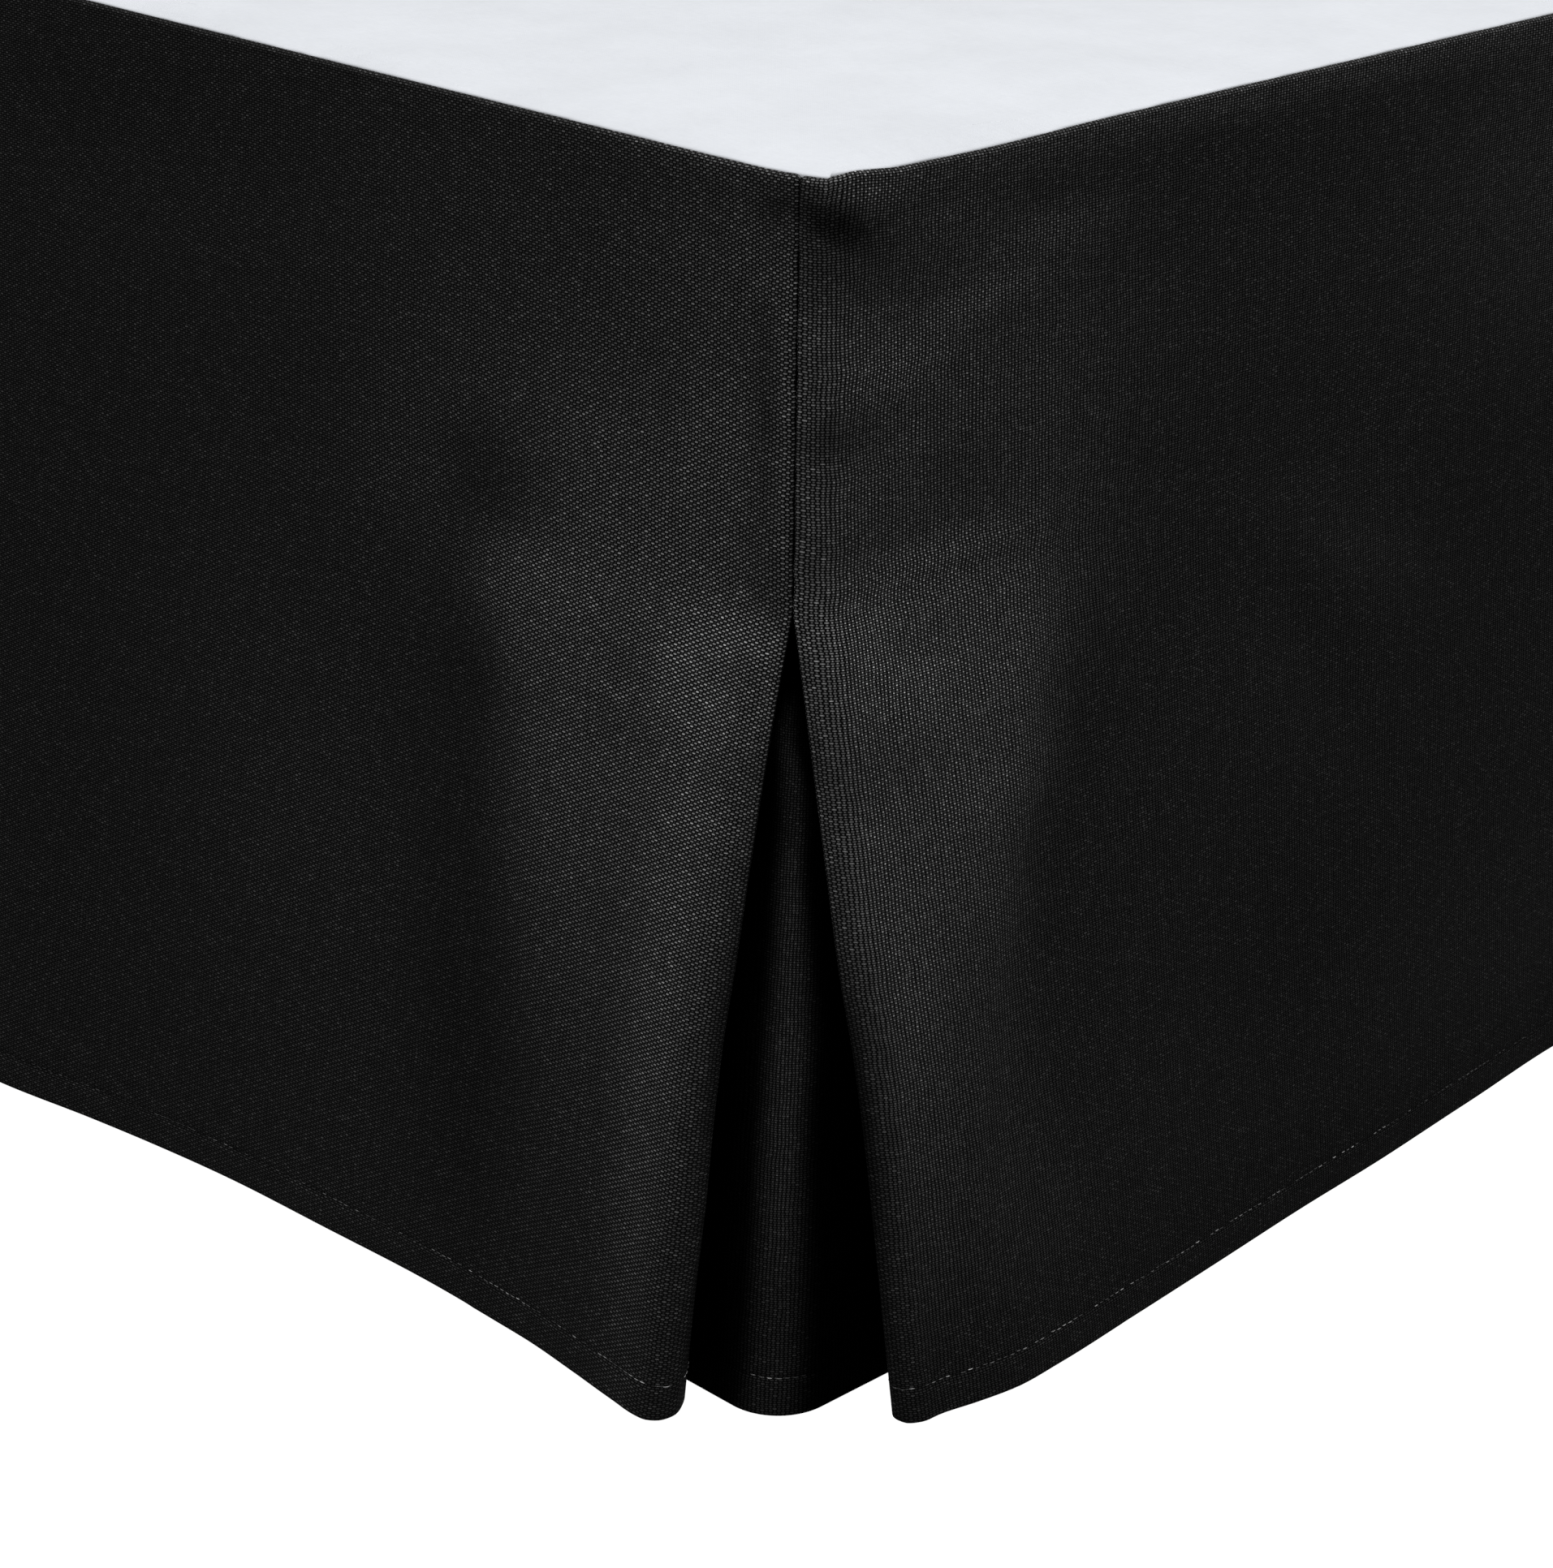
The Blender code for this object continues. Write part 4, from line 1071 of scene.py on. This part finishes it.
def pleat_insert(name, side, surface):
    """The strip behind the split, wrapped round the corner."""
    downs = drop_rows(INSERT_HEM_DEPTH)[1:]
    share = share_of(downs, DROP)[:, None]
    foot_out, long_out, radius = (top + (hem - top) * share for top, hem in (
        (INSERT_TOP_OUT, INSERT_FOOT_OUT), (INSERT_TOP_OUT, INSERT_LONG_OUT),
        (INSERT_TOP_RADIUS, INSERT_HEM_RADIUS)))
    wing = np.linspace(INSERT_WING_END, INSERT_WING_START, 16)[None, :]
    turns = np.radians(np.linspace(0, 90, 25))[None, :]
    flat = np.ones_like(share * wing)
    u = np.concatenate([-wing * flat, long_out - radius * (1 - np.sin(turns)), long_out * flat], axis=1)
    v = np.concatenate([foot_out * flat, foot_out - radius * (1 - np.cos(turns)), -wing[:, ::-1] * flat],
                       axis=1)
    plan = from_corner(side, u, v)
    lengths = path_lengths(plan[-1])
    plan = plan - side * side_normals(plan) * hem_groove(downs, INSERT_HEM_DEPTH)[:, None, None]
    thickness = hem_thickness(downs, plan.shape[1], INSERT_HEM_DEPTH)
    beside = [np.full(wing.shape[1], angle) for angle in (-90.0, 180.0)]
    around = np.concatenate([beside[0], np.degrees(turns[0]), beside[1]])
    # painted light round the bend: a painted highlight band with painted shade on both sides, which the hem's
    # stitches take too
    bands = np.array(INSERT_PAINTED_LIGHT)
    middle, foot_fall, long_fall, gloss = (smooth_table(bands[:, [0, k]], downs)[:, None]
                                           for k in range(1, 5))
    past = around[None, :] - middle
    band = np.exp(-np.abs(past / np.where(past < 0, foot_fall, long_fall)) ** BAND_FLATNESS)
    painted_light = PAINTED_DEEP_SHADE + band * (gloss - PAINTED_DEEP_SHADE)
    made = sheet_from_plan(name, plan, -side, thickness, None, lengths, painted_light, surface, downs, lengthwise=1.0)
    row = int(np.argmin(np.abs(downs - DROP + INSERT_HEM_DEPTH)))
    line = np.column_stack([plan[row], np.full(len(lengths), SEAM_HEIGHT - downs[row])])
    outward = np.column_stack([-side * side_normals(plan)[row], np.zeros(len(lengths))])
    return made, lengths, (line, outward, lengths, band[row] - 1)


def deck_lines(size):
    """Grid lines across the white cloth, close to each other at its edges and near the corner."""
    rim = DECK_RIM[-1]
    lines = spaced(rim, rim + DECK_NEAR, DECK_NEAR_STEP) + spaced(rim + DECK_NEAR, size - rim, DECK_FAR_STEP)
    return np.array(list(DECK_RIM) + lines + [size - line for line in DECK_RIM[-2::-1]])


def platform_cloth(name, surface):
    """The white cloth on the base, softly rumpled, its edges turned down into the seams."""
    inset = EDGE_RADIUS + DECK_GAP
    half_x = HALF_WIDTH - inset
    foot_y = BED_MIDDLE_Y - HALF_LENGTH + inset
    head_y = BED_MIDDLE_Y + HALF_LENGTH - DECK_SHORT
    x, y = np.meshgrid(half_x - deck_lines(2 * half_x), foot_y + deck_lines(head_y - foot_y))
    radius = CORNER_RADIUS - EDGE_RADIUS
    over_x, over_y = np.abs(x) - (half_x - radius), (foot_y + radius) - y
    over = np.hypot(np.maximum(over_x, 0), np.maximum(over_y, 0))
    squeeze = np.where((over_x > 0) & (over_y > 0) & (over > 0),
                       np.maximum(over_x, over_y) / np.maximum(over, 1e-9), 1.0)
    x = np.where(squeeze < 1, np.sign(x) * (half_x - radius + over_x * squeeze), x)
    y = np.where(squeeze < 1, foot_y + radius - over_y * squeeze, y)
    edge = np.minimum(np.minimum(half_x - np.abs(x), y - foot_y), head_y - y)
    edge = np.where(squeeze < 1, np.minimum(edge, radius - over * squeeze), edge)
    puff = PUFF_HEIGHT * np.exp(-((edge - PUFF_PLACE) / PUFF_WIDTH) ** 2)
    small, large = (soft_noise(x, y, size, SEED + 3 + i) for i, size in enumerate(RUMPLE_SIZES))
    rumple = RUMPLE_HEIGHT * (small + 0.8 * large + 1)
    rise = (rumple + puff) * ease((edge - 0.0005) / 0.010)
    round_edge = edge_rounding(np.maximum(edge, 0), 2 * DECK_CLOTH)
    sag = seam_sag(np.column_stack([np.abs(x).ravel(), y.ravel()]), 1).reshape(x.shape)
    height = SEAM_HEIGHT - sag * (1 - ease(edge / DECK_SAG_WIDTH))
    top = height + rise - DECK_CLOTH * 0.8 * round_edge
    fair = np.stack([x, y, top], axis=-1)
    back = np.stack([x, y, height - DECK_CLOTH], axis=-1)
    uv = np.stack([x, y], axis=-1)
    # painted shade in patches along the rim, where the cloth turns down into the seam
    patchy = 1 + 0.5 * soft_noise(x + y, x - y, 0.012, SEED + 5)
    painted_shade = RIM_PAINTED_SHADE * np.exp(-(edge / RIM_WIDTH) ** 2) * patchy
    return closed_sheet(name, fair, back, uv, painted_shade, surface, flip=False)


def lathe(name, profile, x, y, surface):
    """A turned piece from radius and height rows, standing at a place."""
    angle = np.linspace(0, 2 * pi, LATHE_SIDES, endpoint=False)
    rows = np.array([[[x + r * cos(a), y + r * sin(a), z] for a in angle] for r, z in profile])
    made = add_mesh(name, rows.reshape(-1, 3), ring_faces(len(profile), LATHE_SIDES, capped=True), surface)
    made.data.set_sharp_from_angle(angle=radians(40))
    return made


def rounded_outline(half_x, half_y, corner, steps=10):
    """Plan points of a rounded rectangle."""
    points = []
    for quarter, (sx, sy) in enumerate(((1, 1), (-1, 1), (-1, -1), (1, -1))):
        for i in range(steps + 1):
            angle = (quarter + i / steps) * pi / 2
            points.append((sx * (half_x - corner) + corner * cos(angle),
                           sy * (half_y - corner) + corner * sin(angle)))
    return np.array(points)


def ring_sweep(name, outline, centre_y, heights_and_insets, surface, capped):
    """A mesh through copies of a plan outline, each at a height and drawn in by an inset."""
    normal = np.roll(outline, -1, axis=0) - np.roll(outline, 1, axis=0)
    normal = np.stack([normal[:, 1], -normal[:, 0]], axis=-1)
    normal /= np.linalg.norm(normal, axis=1, keepdims=True)
    rows = np.array([np.column_stack([outline - normal * inset, np.full(len(outline), height)])
                     for inset, height in heights_and_insets])
    rows[..., 1] += centre_y
    made = add_mesh(name, rows.reshape(-1, 3), ring_faces(*rows.shape[:2], capped), surface)
    made.data.set_sharp_from_angle(angle=radians(50))
    return made


BASE_CLEAR = 0.008
BASE_CORNER = 0.014
BASE_EDGE = 0.006
LEG_HEIGHT = 0.150
LEG_INSET = 0.110
LATHE_SIDES = 48
PIPING_RADIUS = 0.0022
PIPING_PLACE = 0.012             # from the base's top and bottom
PIPING_SUNK = 0.0004
SIDE_DRAW = 0.0008               # how far the cover draws in past the pipings
SIDE_DRAW_END = 0.020
BASE_GAP = 0.0006


def bed_base(surface):
    """The covered box of the base with a piped seam round its top and its bottom."""
    low, high = LEG_HEIGHT, SEAM_HEIGHT - DECK_CLOTH - BASE_GAP
    outline = rounded_outline(HALF_WIDTH - BASE_CLEAR, HALF_LENGTH - BASE_CLEAR, BASE_CORNER)
    turns = [pi / 2 * i / 6 for i in range(7)]
    profile = [(BASE_EDGE * (1 - sin(a)), low + BASE_EDGE * (1 - cos(a))) for a in turns]
    profile += [(SIDE_DRAW, low + SIDE_DRAW_END), (SIDE_DRAW, high - SIDE_DRAW_END)]
    profile += [(BASE_EDGE * (1 - cos(a)), high - BASE_EDGE * (1 - sin(a))) for a in turns]
    box = ring_sweep("base_box", outline, BED_MIDDLE_Y, profile, surface, capped=True)
    pieces = [box]
    for name, height in (("base_piping_low", low + PIPING_PLACE), ("base_piping_high", high - PIPING_PLACE)):
        rows = [(PIPING_SUNK - PIPING_RADIUS * cos(a), height + PIPING_RADIUS * sin(a))
                for a in (2 * pi * i / 12 for i in range(12))]
        pieces.append(ring_sweep(name, outline, BED_MIDDLE_Y, rows, surface, capped=False))
    return pieces


LEG_PROFILE = (
    (0.0215, 0.0000), (0.0228, 0.0012), (0.0234, 0.0040), (0.0248, 0.0500), (0.0268, 0.1050),
    (0.0280, 0.1280), (0.0300, 0.1305), (0.0306, 0.1340), (0.0300, 0.1375), (0.0284, 0.1395),
    (0.0300, 0.1420), (0.0304, 0.1460), (0.0300, 0.1497),
)


# Scene --------------------------------------------------------------------------------------------

black = black_cloth_material()
white = white_cloth_material()
thread = thread_material()
cover = cover_material()
wood = wood_material()


def finish_piece(piece, slot, *nodes):
    """Rides a piece on the root body and hides the solids that it stands for."""
    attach(piece, "root")
    if nodes:
        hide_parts(*nodes)


deck = platform_cloth("white_platform", white)
finish_piece(deck, "white_cloth", "platform_cloth")

drops = [("foot", *foot_drop("cloth_drop_foot", black)),
         ("right", *long_drop("cloth_drop_right", RIGHT_FLARE, 1, SEED + 10, black)),
         ("left", *long_drop("cloth_drop_left", LEFT_FLARE, -1, SEED + 20, black))]
for number, (where, cloth, cloths) in enumerate(drops):
    finish_piece(cloth, "black_cloth", "drop_" + where)
    rows, columns = len(EDGE_TURNS) + len(DOWNS), len(cloths)
    first = int(np.argmax(cloths > -0.02))
    line = hem_stitches("hem_stitches_" + where, cloth, rows, columns, first, thread, SEED + number)
    finish_piece(line, "black_cloth")
    float(cloths[-1] - cloths[0])

for where, side in (("right", 1), ("left", -1)):
    insert, lengths, route = pleat_insert("cloth_insert_" + where, side, black)
    finish_piece(insert, "black_cloth", "pleat_insert_" + where)
    line = stitch_run("insert_stitches_" + where, thread, SEED + 8, *route)
    finish_piece(line, "black_cloth")

base_pieces = bed_base(cover)
finish_piece(base_pieces[0], "base_cover", "bed_base")
for piece in base_pieces[1:]:
    finish_piece(piece, "base_cover")
for row_name, y in (("foot", -(HALF_LENGTH - LEG_INSET)), ("middle", 0.0), ("head", HALF_LENGTH - LEG_INSET)):
    for column_name, side in (("left", -1), ("right", 1)):
        x = side * (HALF_WIDTH - LEG_INSET)
        post = lathe(f"turned_leg_{row_name}_{column_name}", LEG_PROFILE, x, BED_MIDDLE_Y + y, wood)
        finish_piece(post, "leg_wood", f"leg_{row_name}_{column_name}")


# Floor, light and camera --------------------------------------------------------------------------

FLOOR_SIZE = 14.0
CAMERA_TURN = radians(46.26)      # heading, from +Y towards -X
CAMERA_PITCH = radians(22.45)
CAMERA_LENS = 90.0
CAMERA_PLACE = (-0.0142, -1.0289, 0.2516)      # right, ahead and up of the seam's sharp corner, as below
OVERHEAD_PLACE = (0.0, -0.1, 2.6)
SIDE_PLACE = (2.0, -0.55, 0.75)
WORLD_STRENGTH = 0.18

square = np.array([(-1, -1, 0), (1, -1, 0), (1, 1, 0), (-1, 1, 0)])
floor = add_mesh("floor", square * FLOOR_SIZE / 2, [(0, 1, 2, 3)], floor_material())
floor.visible_diffuse = False
floor.visible_glossy = False

corner = Vector((HALF_WIDTH, BED_MIDDLE_Y - HALF_LENGTH, SEAM_HEIGHT))
ahead = Vector((-sin(CAMERA_TURN), cos(CAMERA_TURN), 0))
rightward = Vector((cos(CAMERA_TURN), sin(CAMERA_TURN), 0))


def from_seam_corner(way):
    """World place of distances right, ahead and up of the seam's sharp corner, as the camera sees them."""
    return corner + rightward * way[0] + ahead * way[1] + Vector((0, 0, way[2]))


def area_light(name, way, size, power):
    """A soft square white light that looks at the seam's corner."""
    lamp = bpy.data.lights.new(name, "AREA")
    lamp.shape = "SQUARE"
    lamp.size = size
    lamp.energy = power
    made = add_object(name, lamp)
    made.location = from_seam_corner(way)
    made.rotation_euler = (corner - made.location).to_track_quat("-Z", "Y").to_euler()


area_light("overhead", OVERHEAD_PLACE, size=2.2, power=95)
area_light("side", SIDE_PLACE, size=0.5, power=4)

world = bpy.data.worlds.new("studio")
bpy.context.scene.world = world
world.use_nodes = True
background = world.node_tree.nodes["Background"]
background.inputs[0].default_value = (1.0, 1.0, 1.0, 1.0)
background.inputs[1].default_value = WORLD_STRENGTH

camera_data = bpy.data.cameras.new("camera")
camera_data.lens = CAMERA_LENS
camera_data.sensor_width = 36.0
camera_data.clip_start = 0.01
camera = add_object("camera", camera_data)
looking = ahead * cos(CAMERA_PITCH) - Vector((0, 0, sin(CAMERA_PITCH)))
upward = rightward.cross(looking)
turned = Matrix((rightward, upward, -looking)).transposed().to_4x4()
turned.translation = from_seam_corner(CAMERA_PLACE)
camera.matrix_world = turned
bpy.context.scene.camera = camera
bpy.context.scene.view_settings.view_transform = "Standard"
